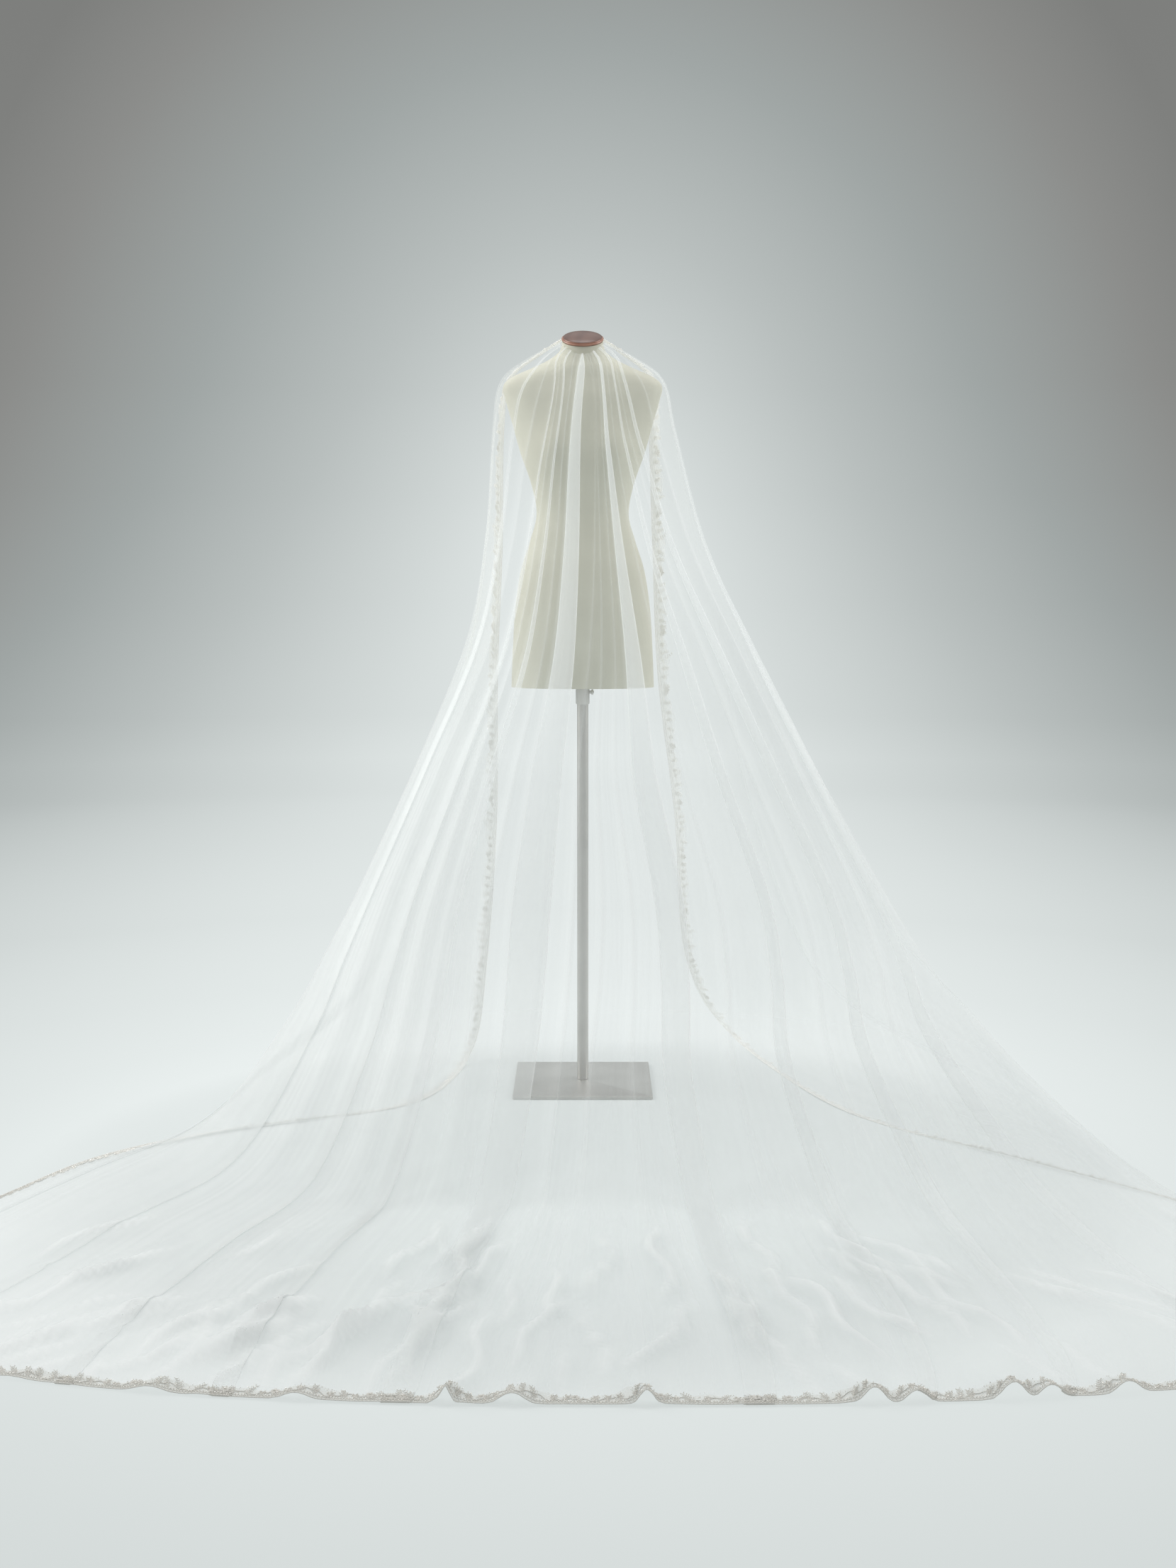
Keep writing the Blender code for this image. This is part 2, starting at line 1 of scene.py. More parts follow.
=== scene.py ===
"""Looks for the bridal veil on its dress form and stand: fine cloth, beaded lace, materials and studio."""

from math import cos, pi, radians, sin

import bmesh
import bpy
import numpy as np
from mathutils import Matrix, Vector


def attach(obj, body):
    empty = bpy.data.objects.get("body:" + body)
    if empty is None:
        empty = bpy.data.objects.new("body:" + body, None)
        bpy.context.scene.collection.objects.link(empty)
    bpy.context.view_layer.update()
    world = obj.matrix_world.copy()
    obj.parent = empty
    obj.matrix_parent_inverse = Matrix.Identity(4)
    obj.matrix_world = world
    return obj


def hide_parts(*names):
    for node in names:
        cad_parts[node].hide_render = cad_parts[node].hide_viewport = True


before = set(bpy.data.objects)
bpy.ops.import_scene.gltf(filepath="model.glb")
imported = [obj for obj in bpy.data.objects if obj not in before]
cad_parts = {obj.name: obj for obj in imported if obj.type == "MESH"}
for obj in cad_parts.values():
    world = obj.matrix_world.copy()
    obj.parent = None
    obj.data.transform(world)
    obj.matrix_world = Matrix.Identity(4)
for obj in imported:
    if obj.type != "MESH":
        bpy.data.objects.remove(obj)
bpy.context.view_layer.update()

# Camera, from the base plate's perspective and the photograph's 1659 x 2212 frame
PHOTO_HEIGHT = 2212
FOCAL_PIXELS = 2659
CAMERA_PLACE = (0.0127, -4.5, 1.186)
CAMERA_PITCH = 5.79
SENSOR = 36.0

# Stand and form sizes, as in the part's source
PLATE_SIDE = 0.33
PLATE_THICKNESS = 0.008
POLE_RADIUS = 0.0135
SEAT_GAP = 0.0003
TORSO_BOTTOM = 0.963
TORSO_ROUNDNESS = 2.15
BUST_HEIGHT = 1.515
BUST_SPREAD = 0.072
BUST_RISE = 0.020
BUST_REACH_ACROSS = 0.042
BUST_REACH_UP = 0.055
CAP_RADIUS = 0.0485
CAP_GROOVE = CAP_RADIUS - 0.0034
COLLAR_HEIGHT = 0.041
COLLAR_WALL = 0.0027

# The torso's levels: z, half width, front, back, tilt
TORSO = np.array((
    (TORSO_BOTTOM, 0.17, 0.112, 0.112, 0),
    (1.06, 0.166, 0.114, 0.118, 0),
    (1.15, 0.16, 0.112, 0.12, 0),
    (1.24, 0.146, 0.102, 0.106, 0),
    (1.31, 0.124, 0.088, 0.082, 0),
    (1.372, 0.109, 0.079, 0.068, 0),
    (1.44, 0.121, 0.084, 0.073, 0),
    (1.515, 0.147, 0.092, 0.086, 0),
    (1.58, 0.165, 0.088, 0.093, 0),
    (1.635, 0.181, 0.078, 0.09, 1),
    (1.668, 0.187, 0.068, 0.081, 3),
    (1.69, 0.166, 0.062, 0.074, 6),
    (1.71, 0.12, 0.059, 0.068, 11),
    (1.728, 0.08, 0.057, 0.062, 17),
    (1.745, 0.056, 0.053, 0.055, 22),
    (1.76, 0.05, 0.05, 0.05, 25),
    (1.775, 0.048, 0.048, 0.048, 25),
))
SEAMS = (0.0, 0.52, -0.52, pi / 2, -pi / 2, pi, pi - 0.55, -(pi - 0.55))
SEAM_REACH = 0.035
SEAM_DEPTH = 0.0007
SEAMS_END = 0.93
TORSO_RINGS = 120
TORSO_SIDES = 120

# The veil's stations from neckline to hem: x, y, z, roundness of the middle of the front
CENTRE = np.array((
    (0.0, -0.0472, 1.737, 2.0),
    (0.0, -0.065, 1.697, 2.0),
    (0.0, -0.089, 1.62, 2.1),
    (0.0, -0.121, 1.5, 2.2),
    (0.0, -0.175, 1.28, 2.2),
    (0.0, -0.25, 1.04, 2.2),
    (0.0, -0.355, 0.79, 2.2),
    (0.01, -0.49, 0.53, 2.3),
    (0.015, -0.59, 0.36, 2.3),
    (0.02, -0.72, 0.2, 2.3),
    (0.03, -0.96, 0.0, 2.4),
    (0.05, -1.25, 0.0, 2.4),
    (0.075, -1.55, 0.0, 2.5),
    (0.1, -1.846, 0.0, 2.5),
))
# The same stations at each side: side x, y, z, edge x, y, z, bulge
LEFT = np.array((
    (-0.0514, 0.002, 1.766, -0.012, 0.0535, 1.802, 1.0),
    (-0.125, 0.008, 1.73, -0.095, 0.07, 1.752, 1.0),
    (-0.189, 0.0, 1.674, -0.17, 0.076, 1.69, 1.0),
    (-0.206, -0.005, 1.56, -0.188, 0.06, 1.56, 0.9),
    (-0.223, 0.0, 1.32, -0.193, 0.066, 1.29, 0.9),
    (-0.266, -0.03, 1.08, -0.208, 0.11, 0.98, 0.9),
    (-0.375, -0.09, 0.81, -0.215, 0.19, 0.63, 0.7),
    (-0.5, -0.18, 0.53, -0.245, 0.25, 0.25, 0.5),
    (-0.57, -0.24, 0.39, -0.285, 0.2, 0.02, 0.3),
    (-0.645, -0.34, 0.25, -0.4, -0.205, 0.0, 0.3),
    (-0.79, -0.6, 0.075, -0.8, -0.425, 0.0, 0.3),
    (-0.985, -0.81, 0.02, -1.02, -0.62, 0.0, 0.3),
    (-1.15, -1.07, 0.0, -1.15, -0.89, 0.0, 0.1),
    (-1.3, -1.32, 0.0, -1.27, -1.13, 0.0, 1.0),
))
RIGHT = np.array((
    (0.0505, 0.0, 1.766, 0.012, 0.052, 1.802, 1.0),
    (0.125, 0.008, 1.73, 0.088, 0.072, 1.754, 1.0),
    (0.189, 0.0, 1.676, 0.156, 0.105, 1.696, 1.0),
    (0.215, -0.005, 1.56, 0.16, 0.115, 1.56, 1.0),
    (0.285, -0.025, 1.3, 0.17, 0.13, 1.29, 0.9),
    (0.39, -0.09, 1.07, 0.185, 0.16, 0.98, 0.7),
    (0.515, -0.22, 0.82, 0.23, 0.21, 0.63, 0.4),
    (0.66, -0.41, 0.54, 0.265, 0.3, 0.25, 0.5),
    (0.73, -0.52, 0.415, 0.39, 0.39, 0.025, 0.4),
    (0.81, -0.64, 0.3, 0.6, -0.26, 0.0, 0.4),
    (0.99, -0.85, 0.13, 0.93, -0.645, 0.0, 0.4),
    (1.14, -1.02, 0.03, 1.12, -0.85, 0.0, 0.4),
    (1.29, -1.21, 0.0, 1.27, -1.03, 0.0, 0.3),
    (1.43, -1.42, 0.0, 1.39, -1.22, 0.0, 1.0),
))
CHEST = 2.0
THIGH = 6
HEM = 13

# Where each fold runs at the neck, thigh and hem, its width there, and its step to the middle at the chest
PLEATS = (
    (-1.17, -1.4, -1.3, 0.004, 0.02, 0.024, 0.0),
    (-0.9, -0.86, -0.62, 0.004, 0.03, 0.026, 0.25),
    (-0.68, -0.6, -0.39, 0.004, 0.026, 0.026, 0.38),
    (-0.45, -0.4, -0.25, 0.004, 0.022, 0.03, 0.25),
    (0.0, -0.13, -0.125, 0.001, 0.092, 0.044, 0.0),
    (0.42, 0.175, 0.049, 0.001, 0.062, 0.044, -0.16),
    (0.7, 0.44, 0.154, 0.004, 0.022, 0.028, -0.31),
    (0.92, 0.68, 0.265, 0.004, 0.026, 0.026, -0.42),
    (1.17, 0.92, 0.45, 0.004, 0.03, 0.026, 0.0),
)
# Place, reach and rise of each soft ridge at the neck, thigh and hem, and its step at the chest
RIDGES = (
    (-1.27, -1.7, -1.62, 0.003, 0.03, 0.04, 0.001, 0.01, 0.012, 0.0),
    (-1.05, -1.14, -0.9, 0.003, 0.035, 0.06, 0.001, 0.014, 0.012, 0.05),
    (-0.79, -0.73, -0.5, 0.003, 0.03, 0.055, 0.001, 0.014, 0.014, 0.35),
    (-0.565, -0.5, -0.32, 0.003, 0.024, 0.045, 0.001, 0.012, 0.016, 0.31),
    (-0.22, -0.27, -0.18, 0.004, 0.024, 0.045, 0.001, 0.012, 0.02, 0.11),
    (0.12, -0.02, -0.085, 0.003, 0.022, 0.024, 0.001, 0.01, 0.024, 0.02),
    (0.21, 0.035, -0.05, 0.003, 0.022, 0.04, 0.001, 0.009, 0.014, -0.05),
    (0.32, 0.09, 0.0, 0.003, 0.022, 0.04, 0.001, 0.01, 0.024, -0.1),
    (0.575, 0.3, 0.111, 0.003, 0.02, 0.05, 0.001, 0.01, 0.03, -0.25),
    (0.81, 0.56, 0.225, 0.003, 0.022, 0.04, 0.001, 0.012, 0.028, -0.38),
    (1.04, 0.8, 0.33, 0.003, 0.028, 0.045, 0.001, 0.014, 0.028, -0.33),
    (1.27, 1.25, 0.8, 0.003, 0.03, 0.05, 0.001, 0.01, 0.018, -0.03),
    (1.35, 1.6, 1.3, 0.002, 0.03, 0.05, 0.001, 0.012, 0.02, 0.0),
)
# A pleat's columns in widths, layer gaps and ramps from its middle, in layers up, and their marks:
# a turn of the cloth, an inner layer, more than one layer
PLEAT_COLUMNS = (
    (-0.5, -0.5, -1.0, 0.0, 0, 0, 0),
    (-0.5, -0.5, 0.0, 2.0, 0, 0, 1),
    (0.5, 0.0, 0.0, 2.0, 0, 0, 1),
    (0.5, 0.5, 0.0, 1.5, 1, 0.5, 1),
    (0.5, 0.0, 0.0, 1.0, 0, 1, 1),
    (-0.5, 0.0, 0.0, 1.0, 0, 1, 1),
    (-0.5, -0.5, 0.0, 0.5, 1, 0.6, 1),
    (-0.5, 0.0, 0.0, 0.0, 0, 0.2, 1),
    (0.5, 0.0, 0.0, 0.0, 0, 0, 0),
)
# A ridge's columns in reaches from its middle, and their turn marks
RIDGE_COLUMNS = ((-1.0, 0), (-0.45, 0), (0.0, 0.62), (0.45, 0))
LAYER_GAP = (0.0026, 0.0042, 0.0066)
PLEAT_RAMP = (0.003, 0.014, 0.030)
WIDE_PLEAT = 0.04
NARROW_BAND = 0.35
NARROWING = 0.75
TURN_SHARE = 0.75
FOLD_ROOM = 0.92
LACE_WIDTH = 0.050
FLOOR_LINE = 0.0012
FLOOR_SOFTNESS = 0.004
LACE_FLOOR = 0.0008
SHEET_ROWS = 176
SHEET_COLUMNS = 540
MARK_STEPS = 96

# Heights of the relief: fine folds at the neck and lower down, the train's swell, its crinkled left part
FINE_RISE = 0.0001
FINE_RISE_LOW = 0.0014
SWELL_RISE = 0.0055
CRINKLE_RISE = 0.004
# Arches where the hem buckles off the floor: x, height, half width, how far in they run
BUCKLES = (
    (-0.198, 0.028, 0.009, 0.09),
    (-0.1, 0.017, 0.022, 0.16),
    (0.099, 0.022, 0.012, 0.12),
    (0.434, 0.023, 0.017, 0.14),
    (0.497, 0.018, 0.018, 0.1),
    (0.64, 0.025, 0.02, 0.16),
    (0.697, 0.02, 0.018, 0.1),
    (0.815, 0.018, 0.02, 0.12),
    (-0.42, 0.01, 0.022, 0.1),
    (-0.64, 0.008, 0.024, 0.1),
)
BUCKLE_RUN = 0.30
BUCKLE_LEAN = 0.25
# Long soft creases in the train: start x, y, end x, y, height, reach
CREASES = (
    (-0.135, -1.19, -0.21, -1.4, 0.016, 0.018),
    (-0.21, -1.4, -0.33, -1.5, 0.014, 0.016),
    (-0.33, -1.5, -0.43, -1.76, 0.014, 0.014),
    (-0.27, -1.47, -0.25, -1.76, 0.011, 0.013),
    (-0.04, -1.47, -0.11, -1.72, 0.011, 0.013),
    (0.19, -1.49, 0.08, -1.74, 0.013, 0.014),
    (0.25, -1.48, 0.29, -1.66, 0.012, 0.014),
    (0.37, -1.36, 0.46, -1.7, 0.013, 0.015),
    (0.05, -1.15, 0.02, -1.42, 0.01, 0.016),
    (0.56, -1.3, 0.7, -1.66, 0.012, 0.015),
    (-0.48, -1.3, -0.66, -1.62, 0.01, 0.016),
    (0.8, -1.4, 0.98, -1.62, 0.01, 0.015),
    (-0.19, -1.12, -0.24, -1.62, 0.009, 0.013),
    (0.13, -1.1, 0.15, -1.44, 0.008, 0.012),
    (0.3, -1.05, 0.38, -1.66, 0.009, 0.013),
    (0.44, -1.05, 0.62, -1.6, 0.009, 0.013),
)
# Short creases strewn over the train: x from, to, y from, to, count, turn, spread, longest, highest
STREWN = (
    (-1.05, 1.2, -1.76, -1.05, 50, 0.0, 0.16, 0.3, 0.0085),
    (-1.15, -0.25, -1.78, -1.42, 60, -0.25, 0.25, 0.16, 0.0095),
)
CREST_REACH = 0.009
CREST_COVER = 0.27
COVER_RANGE = (0.03, 0.75)

# Lace: depths of its scalloped inner edge and their repeats
SCALLOP = (0.019, 0.011, 0.005)
SCALLOP_LONG = 0.145
SCALLOP_SHORT = 0.0363
# Straight cords: depth in from the edge, radius, sides
CORDS = ((0.0006, 0.0007, 6), (0.0055, 0.0006, 4))
# Rows of beads: pitch, depth in from the edge, lift, radius, seed
BEAD_ROWS = ((0.0046, 0.0080, 0.0014, 0.0015, 7), (0.0060, 0.0038, 0.0012, 0.0011, 17))
SPRAY_PITCH = 0.021
SPRAY_STEPS = 6
FLOWER_DEPTH = 0.019
PETALS = 6
SCATTERED_PER_METRE = 330

BOWL_RADIUS = 9.0
BOWL_CURVE = 1.6
BOWL_HEIGHT = 7.5
BOWL_CENTRE = (0.0, -0.7)
BOWL_SIDES = 96
# Painted light of the glowing sweep, as display tones: the wall's at shares of 6 m up, darker higher up, and
# the floor's at shares of 10 m out, darker further off
WALL_PAINTED_LIGHT = (
    (0.0, 232), (0.001, 186), (0.067, 168), (0.187, 150), (0.305, 137), (0.423, 130),
    (0.54, 128), (0.83, 125),
)
FLOOR_PAINTED_LIGHT = (
    (0.03, 206), (0.092, 208), (0.116, 226), (0.20, 213), (0.32, 200), (0.52, 191),
    (0.69, 185), (0.83, 178),
)
TONE_STOPS = (115, 140, 165, 190, 215, 240)
# A painted pool of light on the sweep's wall behind the form: its height and how much it brightens the tone
PAINTED_HALO_HEIGHT = 1.83
PAINTED_HALO_GAIN = 0.384


def smoothstep(value, low, high):
    """0 below low, 1 above high, smooth between."""
    share = np.clip((value - low) / (high - low), 0, 1)
    return share * share * (3 - 2 * share)


def unit(vectors):
    """Vectors scaled to length 1."""
    return vectors / np.maximum(np.linalg.norm(vectors, axis=-1, keepdims=True), 1e-12)


def summed(steps):
    """Running totals of steps along the first axis, from 0."""
    return np.concatenate((np.zeros((1,) + steps.shape[1:]), np.cumsum(steps, axis=0)))


def spread(values, place):
    """Rows of values read on a Catmull-Rom curve at fractional places."""
    last = len(values) - 1
    place = np.asarray(place, float)
    first = np.minimum(place.astype(int), last - 1)
    share = (place - first)[:, None]
    before, start, end, after = (values[np.clip(first + k, 0, last)] for k in (-1, 0, 1, 2))
    return 0.5 * (
        2 * start
        + (end - before) * share
        + (2 * before - 5 * start + 4 * end - after) * share**2
        + (3 * start - before - 3 * end + after) * share**3
    )


def between(values, index):
    """Rows of values at fractional places, on straight lines."""
    low = np.minimum(index.astype(int), len(values) - 2)
    share = (index - low)[:, None]
    return values[low] * (1 - share) + values[low + 1] * share


def squircle(angle, roundness):
    """Sine and cosine of angles on a superellipse."""
    power = 2 / roundness
    across, along = np.sin(angle), np.cos(angle)
    return np.sign(across) * np.abs(across) ** power, np.sign(along) * np.abs(along) ** power


def staged(neck, thigh, hem, place):
    """A fold's value at stations, from its values at the neck, the thigh and the hem."""
    return np.interp(place, (0, THIGH, HEM), (neck, thigh, hem))


def waves(place, seed, count, low, high):
    """Smooth noise over an array of places: sines with seeded frequencies and phases, about -1 to 1."""
    random = np.random.default_rng(seed)
    total = np.zeros_like(place)
    for _ in range(count):
        total += np.sin(place * random.uniform(low, high) + random.uniform(0, 2 * pi))
    return total / count**0.5 / 1.4


def strewn():
    """Creases at seeded places, most of them running away from the form."""
    random = np.random.default_rng(40)
    made = []
    for left, right, front, back, count, turn, loose, longest, highest in STREWN:
        for _ in range(count):
            x, y = random.uniform(left, right), random.uniform(front, back)
            heading = np.arctan2(x, -0.3 - y) + turn + random.uniform(-loose, loose)
            long = longest * random.uniform(0.3, 1.0)
            high, reach = highest * random.uniform(0.35, 1.0), random.uniform(0.010, 0.018)
            made.append((x, y, x + long * np.sin(heading), y - long * np.cos(heading), high, reach))
    return made


def crease(points, start_x, start_y, end_x, end_y, height, reach):
    """Height of one soft crease over the floor plan."""
    start = np.array((start_x, start_y))
    way = np.array((end_x, end_y)) - start
    long = np.linalg.norm(way)
    relative = points[..., :2] - start
    along = relative @ (way / long)
    aside = relative @ np.array((-way[1], way[0])) / long
    aside = aside + 0.012 * np.sin(along * 24 + start_x * 40)
    ends = smoothstep(along, -0.05, 0.06) * (1 - smoothstep(along, long - 0.05, long + 0.05))
    return height * ends * np.exp(-((aside / reach) ** 2))


def base_grid(place):
    """Points of the veil's smooth cross-sections, in rows from the left lace edge to the right one."""
    marks = np.linspace(-2, 2, 4 * MARK_STEPS + 1)
    middle = spread(CENTRE, place)
    sides = {True: spread(LEFT, place), False: spread(RIGHT, place)}
    points = np.empty((len(place), len(marks), 3))
    for number, mark in enumerate(marks):
        flank = sides[mark < 0]
        side, edge, bulge = flank[:, 0:3], flank[:, 3:6], flank[:, 6]
        share = abs(mark)
        if share <= 1:
            across, along = squircle(share * pi / 2, middle[:, 3])
            points[:, number, 0] = middle[:, 0] + (side[:, 0] - middle[:, 0]) * across
            points[:, number, 1] = side[:, 1] + (middle[:, 1] - side[:, 1]) * along
            points[:, number, 2] = middle[:, 2] + (side[:, 2] - middle[:, 2]) * sin(share * pi / 2) ** 2
        else:
            turn = (share - 1) * pi / 2
            straight = side + (edge - side) * (share - 1)
            round_x = edge[:, 0] + (side[:, 0] - edge[:, 0]) * cos(turn)
            round_y = side[:, 1] + (edge[:, 1] - side[:, 1]) * sin(turn)
            points[:, number, 0] = straight[:, 0] + (round_x - straight[:, 0]) * bulge
            points[:, number, 1] = straight[:, 1] + (round_y - straight[:, 1]) * bulge
            points[:, number, 2] = side[:, 2] + (edge[:, 2] - side[:, 2]) * sin(turn) ** 2
    height = points[:, :, 2]
    above = 0.5 * (height + np.sqrt(height**2 + FLOOR_SOFTNESS**2))
    points[:, :, 2] = above + FLOOR_LINE - FLOOR_SOFTNESS / 4
    return points


def fold_list(place):
    """Every fold with its columns' offsets, heights and marks, from left to right."""
    gap, ramp = staged(*LAYER_GAP, place), staged(*PLEAT_RAMP, place)
    folds = []
    for fold in PLEATS:
        width = staged(*fold[3:6], place)
        band = 1.0
        if width.max() < WIDE_PLEAT:
            width = width - NARROWING * (width - fold[3]) * (1 - smoothstep(place, 2.0, 6.0))
            band = NARROW_BAND
        steps = [(w * width + g * gap + r * ramp, high * gap) for w, g, r, high, *_ in PLEAT_COLUMNS]
        marks = [(turn, inner, band * layered) for *_, turn, inner, layered in PLEAT_COLUMNS]
        folds.append((fold, steps, marks))
    for fold in RIDGES:
        reach, rise = staged(*fold[3:6], place), staged(*fold[6:9], place)
        steps = [(step * reach, rise * cos(step * pi / 2) ** 2) for step, _ in RIDGE_COLUMNS]
        folds.append((fold, steps, [(turn, 0, 0) for _, turn in RIDGE_COLUMNS]))
    return sorted(folds, key=lambda entry: entry[0][1])


def control_columns(place, lengths):
    """The columns' offsets along each row, their heights, the folds' middles and the columns' marks."""
    total = lengths[:, -1]
    lace = staged(LACE_WIDTH * 0.8, LACE_WIDTH, LACE_WIDTH, place)
    none = 0 * lace
    folds = fold_list(place)
    middles, reaches = [lace], [none]
    index = np.arange(lengths.shape[1])
    chest = (place / CHEST) ** 2 * np.exp(2 - 2 * place / CHEST)
    for fold, steps, _ in folds:
        wanted = (staged(*fold[0:3], place) + fold[-1] * chest + 2) * MARK_STEPS
        at = np.array([np.interp(w, index, row) for w, row in zip(wanted, lengths)])
        middles.append(lace + (total - 2 * lace) * at / total)
        reaches.append(np.max([np.abs(offset) for offset, _ in steps], axis=0))
    middles.append(total - lace)
    reaches.append(none)
    offsets, heights, marks = [none, lace], [none, none], [(0, 0, 0)] * 2
    for number, (_, steps, turns) in enumerate(folds, start=1):
        squeeze = np.ones(len(place))
        for other in (number - 1, number + 1):
            room = np.abs(middles[number] - middles[other])
            squeeze = np.minimum(squeeze, FOLD_ROOM * room / (reaches[number] + reaches[other]))
        offsets += [middles[number] + offset * squeeze for offset, _ in steps]
        heights += [height for _, height in steps]
        marks += turns
    offsets += [total - lace, total]
    heights += [none, none]
    marks += [(0, 0, 0)] * 2
    return np.array(offsets).T, np.array(heights).T, np.array(middles).T, np.array(marks, float).T


def rounded(values, counts):
    """A quadratic B-spline over each row's control values, with a count of samples for each."""
    middle = 0.5 * (values[:, 1:] + values[:, :-1])
    final = len(counts) - 1
    parts = []
    for number, count in enumerate(counts):
        for step in range(count + (number == final)):
            share = step / count
            if number == 0:
                parts.append(values[:, 0] * (1 - share) + middle[:, 0] * share)
            elif number == final:
                parts.append(middle[:, -1] * (1 - share) + values[:, -1] * share)
            else:
                start, control, end = middle[:, number - 1], values[:, number], middle[:, number]
                parts.append(start * (1 - share) ** 2 + 2 * control * share * (1 - share) + end * share**2)
    return np.array(parts).T


class Cloth:
    """The veil's fine sheet: its points, its normals, and where its folds turn, double and hide."""

    def __init__(self):
        self.creases = list(CREASES) + strewn()
        coarse = np.linspace(0, HEM, 600)
        middle = spread(CENTRE, coarse)[:, :3]
        middle[:, 2] = np.maximum(middle[:, 2], 0)
        run = summed(np.linalg.norm(np.diff(middle, axis=0), axis=1))
        self.place = np.interp(np.linspace(0, run[-1], SHEET_ROWS), run, coarse)
        self.base = base_grid(self.place)
        self.lengths = summed(np.linalg.norm(np.diff(self.base, axis=1), axis=2).T).T
        self.total = self.lengths[:, -1]
        down = self.base[np.clip(np.arange(SHEET_ROWS) + 3, 0, SHEET_ROWS - 1)]
        down = down - self.base[np.clip(np.arange(SHEET_ROWS) - 3, 0, SHEET_ROWS - 1)]
        self.base_normals = unit(np.cross(down, np.gradient(self.base, axis=1)))
        offsets, heights, self.middles, marks = control_columns(self.place, self.lengths)
        widest = np.abs(np.diff(offsets[SHEET_ROWS // 2 :], axis=1)).max(axis=0)
        widest = np.concatenate((widest[:1], 0.5 * (widest[1:] + widest[:-1]), widest[-1:]))
        counts = np.maximum(2, np.round(widest * (SHEET_COLUMNS - 2 * len(widest)) / widest.sum() + 1.6))
        counts = counts.astype(int)
        self.offset = rounded(offsets, counts)
        flatter = 1 - 0.62 * smoothstep(self.place, 8.6, 10.4)
        flatter = flatter * (1 - 0.75 * smoothstep(self.place, 12.0, 13.0))
        self.height = rounded(heights * flatter[:, None], counts)
        left = 1 - smoothstep(self.offset / self.total[:, None], 0.30, 0.48)
        self.height *= 1 - 0.5 * left * smoothstep(self.place, 3.0, 6.0)[:, None]
        turns, self.inner, self.band = rounded(marks, counts)
        self.turns = (turns / TURN_SHARE) ** 3
        self.points, self.order = self.place_on(self.offset, self.height)
        self.normals = unit(np.cross(np.gradient(self.points, axis=0), np.gradient(self.points, axis=1)))

    def read(self, field, offset):
        """A field of the base grid read at distances along each row."""
        made = np.empty(offset.shape + (field.shape[2],))
        for row, lengths in enumerate(self.lengths):
            made[row] = between(field[row], np.interp(offset[row], lengths, np.arange(len(lengths))))
        return made

    def relief(self, base, offset, order):
        """Fine folds, train creases and hem arches, as a height that all the layers share."""
        place = np.repeat(self.place[:, None], offset.shape[1], axis=1)
        x, y = base[..., 0], base[..., 1]
        inside = smoothstep(np.minimum(offset, self.total[:, None] - offset), 0.02, 0.10)
        floor = smoothstep(place, 9.2, 11.0)
        drift = 0.5 * np.sin(place * 0.9 + order * 0.7) + 0.3 * np.sin(place * 2.1 - order * 0.4)
        fine = waves(order + 0.08 * drift, 3, 7, 3.0, 7.5)
        fine = fine + 0.22 * waves(order + 0.05 * drift, 5, 7, 9.0, 15.0)
        rise = (FINE_RISE + FINE_RISE_LOW * smoothstep(place, 2.0, 9.0)) * inside
        made = rise * (fine + 0.9) * (1 - 0.55 * floor)
        swell = waves(x * 1.0 + y * 0.35, 11, 6, 9, 26) * waves(y * 1.0 - x * 0.2, 12, 5, 4, 12)
        made = made + floor * inside * SWELL_RISE * (swell + 0.9)
        crinkle = waves(x * 0.55 - y * 0.84 + 0.02 * np.sin(x * 17), 21, 7, 60, 130)
        crinkle = np.maximum(crinkle, 0) ** 1.5 * (waves(x * 0.84 + y * 0.55, 22, 5, 14, 30) > -0.1)
        left_part = smoothstep(-x, 0.25, 0.6) * smoothstep(-y, 0.95, 1.3)
        made = made + left_part * inside * CRINKLE_RISE * crinkle
        for line in self.creases:
            made = made + crease(base, *line) * floor * inside
        made = made * (1 - 0.85 * smoothstep(place, 12.3, 13.0))
        run = (HEM - place) * BUCKLE_RUN
        for at, high, half, long in BUCKLES:
            aside = np.abs(x - at + BUCKLE_LEAN * run * np.sign(at)) / (half + BUCKLE_LEAN * run)
            arch = np.exp(-(aside**2.4)) * np.exp(-((run / long) ** 2))
            made = made + high * arch * smoothstep(place, 10.5, 12.2)
        return made

    def place_on(self, offset, height):
        """Points at distances along the rows and heights over the form, and their folds' order."""
        base = self.read(self.base, offset)
        normals = unit(self.read(self.base_normals, offset))
        number = np.arange(self.middles.shape[1])
        order = np.array([np.interp(o, m, number) for o, m in zip(offset, self.middles)])
        points = base + normals * (height + self.relief(base, offset, order))[..., None]
        points[..., 2] = np.maximum(points[..., 2], FLOOR_LINE * 0.6)
        return points, order


def mesh_piece(name, points, faces, finish, smooth=True):
    """A named object from arrays of points and faces."""
    mesh = bpy.data.meshes.new(name)
    mesh.from_pydata(np.asarray(points).reshape(-1, 3).tolist(), [], [list(map(int, face)) for face in faces])
    mesh.validate()
    if smooth:
        mesh.shade_smooth()
    return finished(mesh, finish)


def finished(mesh, finish):
    """The mesh as an object in the scene, with its finish."""
    mesh.materials.append(finish)
    made = bpy.data.objects.new(mesh.name, mesh)
    bpy.context.collection.objects.link(made)
    return made


def settled(name, made, angle, finish):
    """A piece from a bmesh, sharp where its faces meet at more than the angle."""
    bmesh.ops.recalc_face_normals(made, faces=made.faces)
    mesh = bpy.data.meshes.new(name)
    made.to_mesh(mesh)
    made.free()
    mesh.shade_smooth()
    mesh.set_sharp_from_angle(angle=radians(angle))
    return finished(mesh, finish)


def grid_faces(high, wide):
    """Quads of a grid of points."""
    corner = (np.arange(high - 1)[:, None] * wide + np.arange(wide - 1)[None, :]).ravel()
    return np.stack((corner, corner + wide, corner + wide + 1, corner + 1), axis=1)


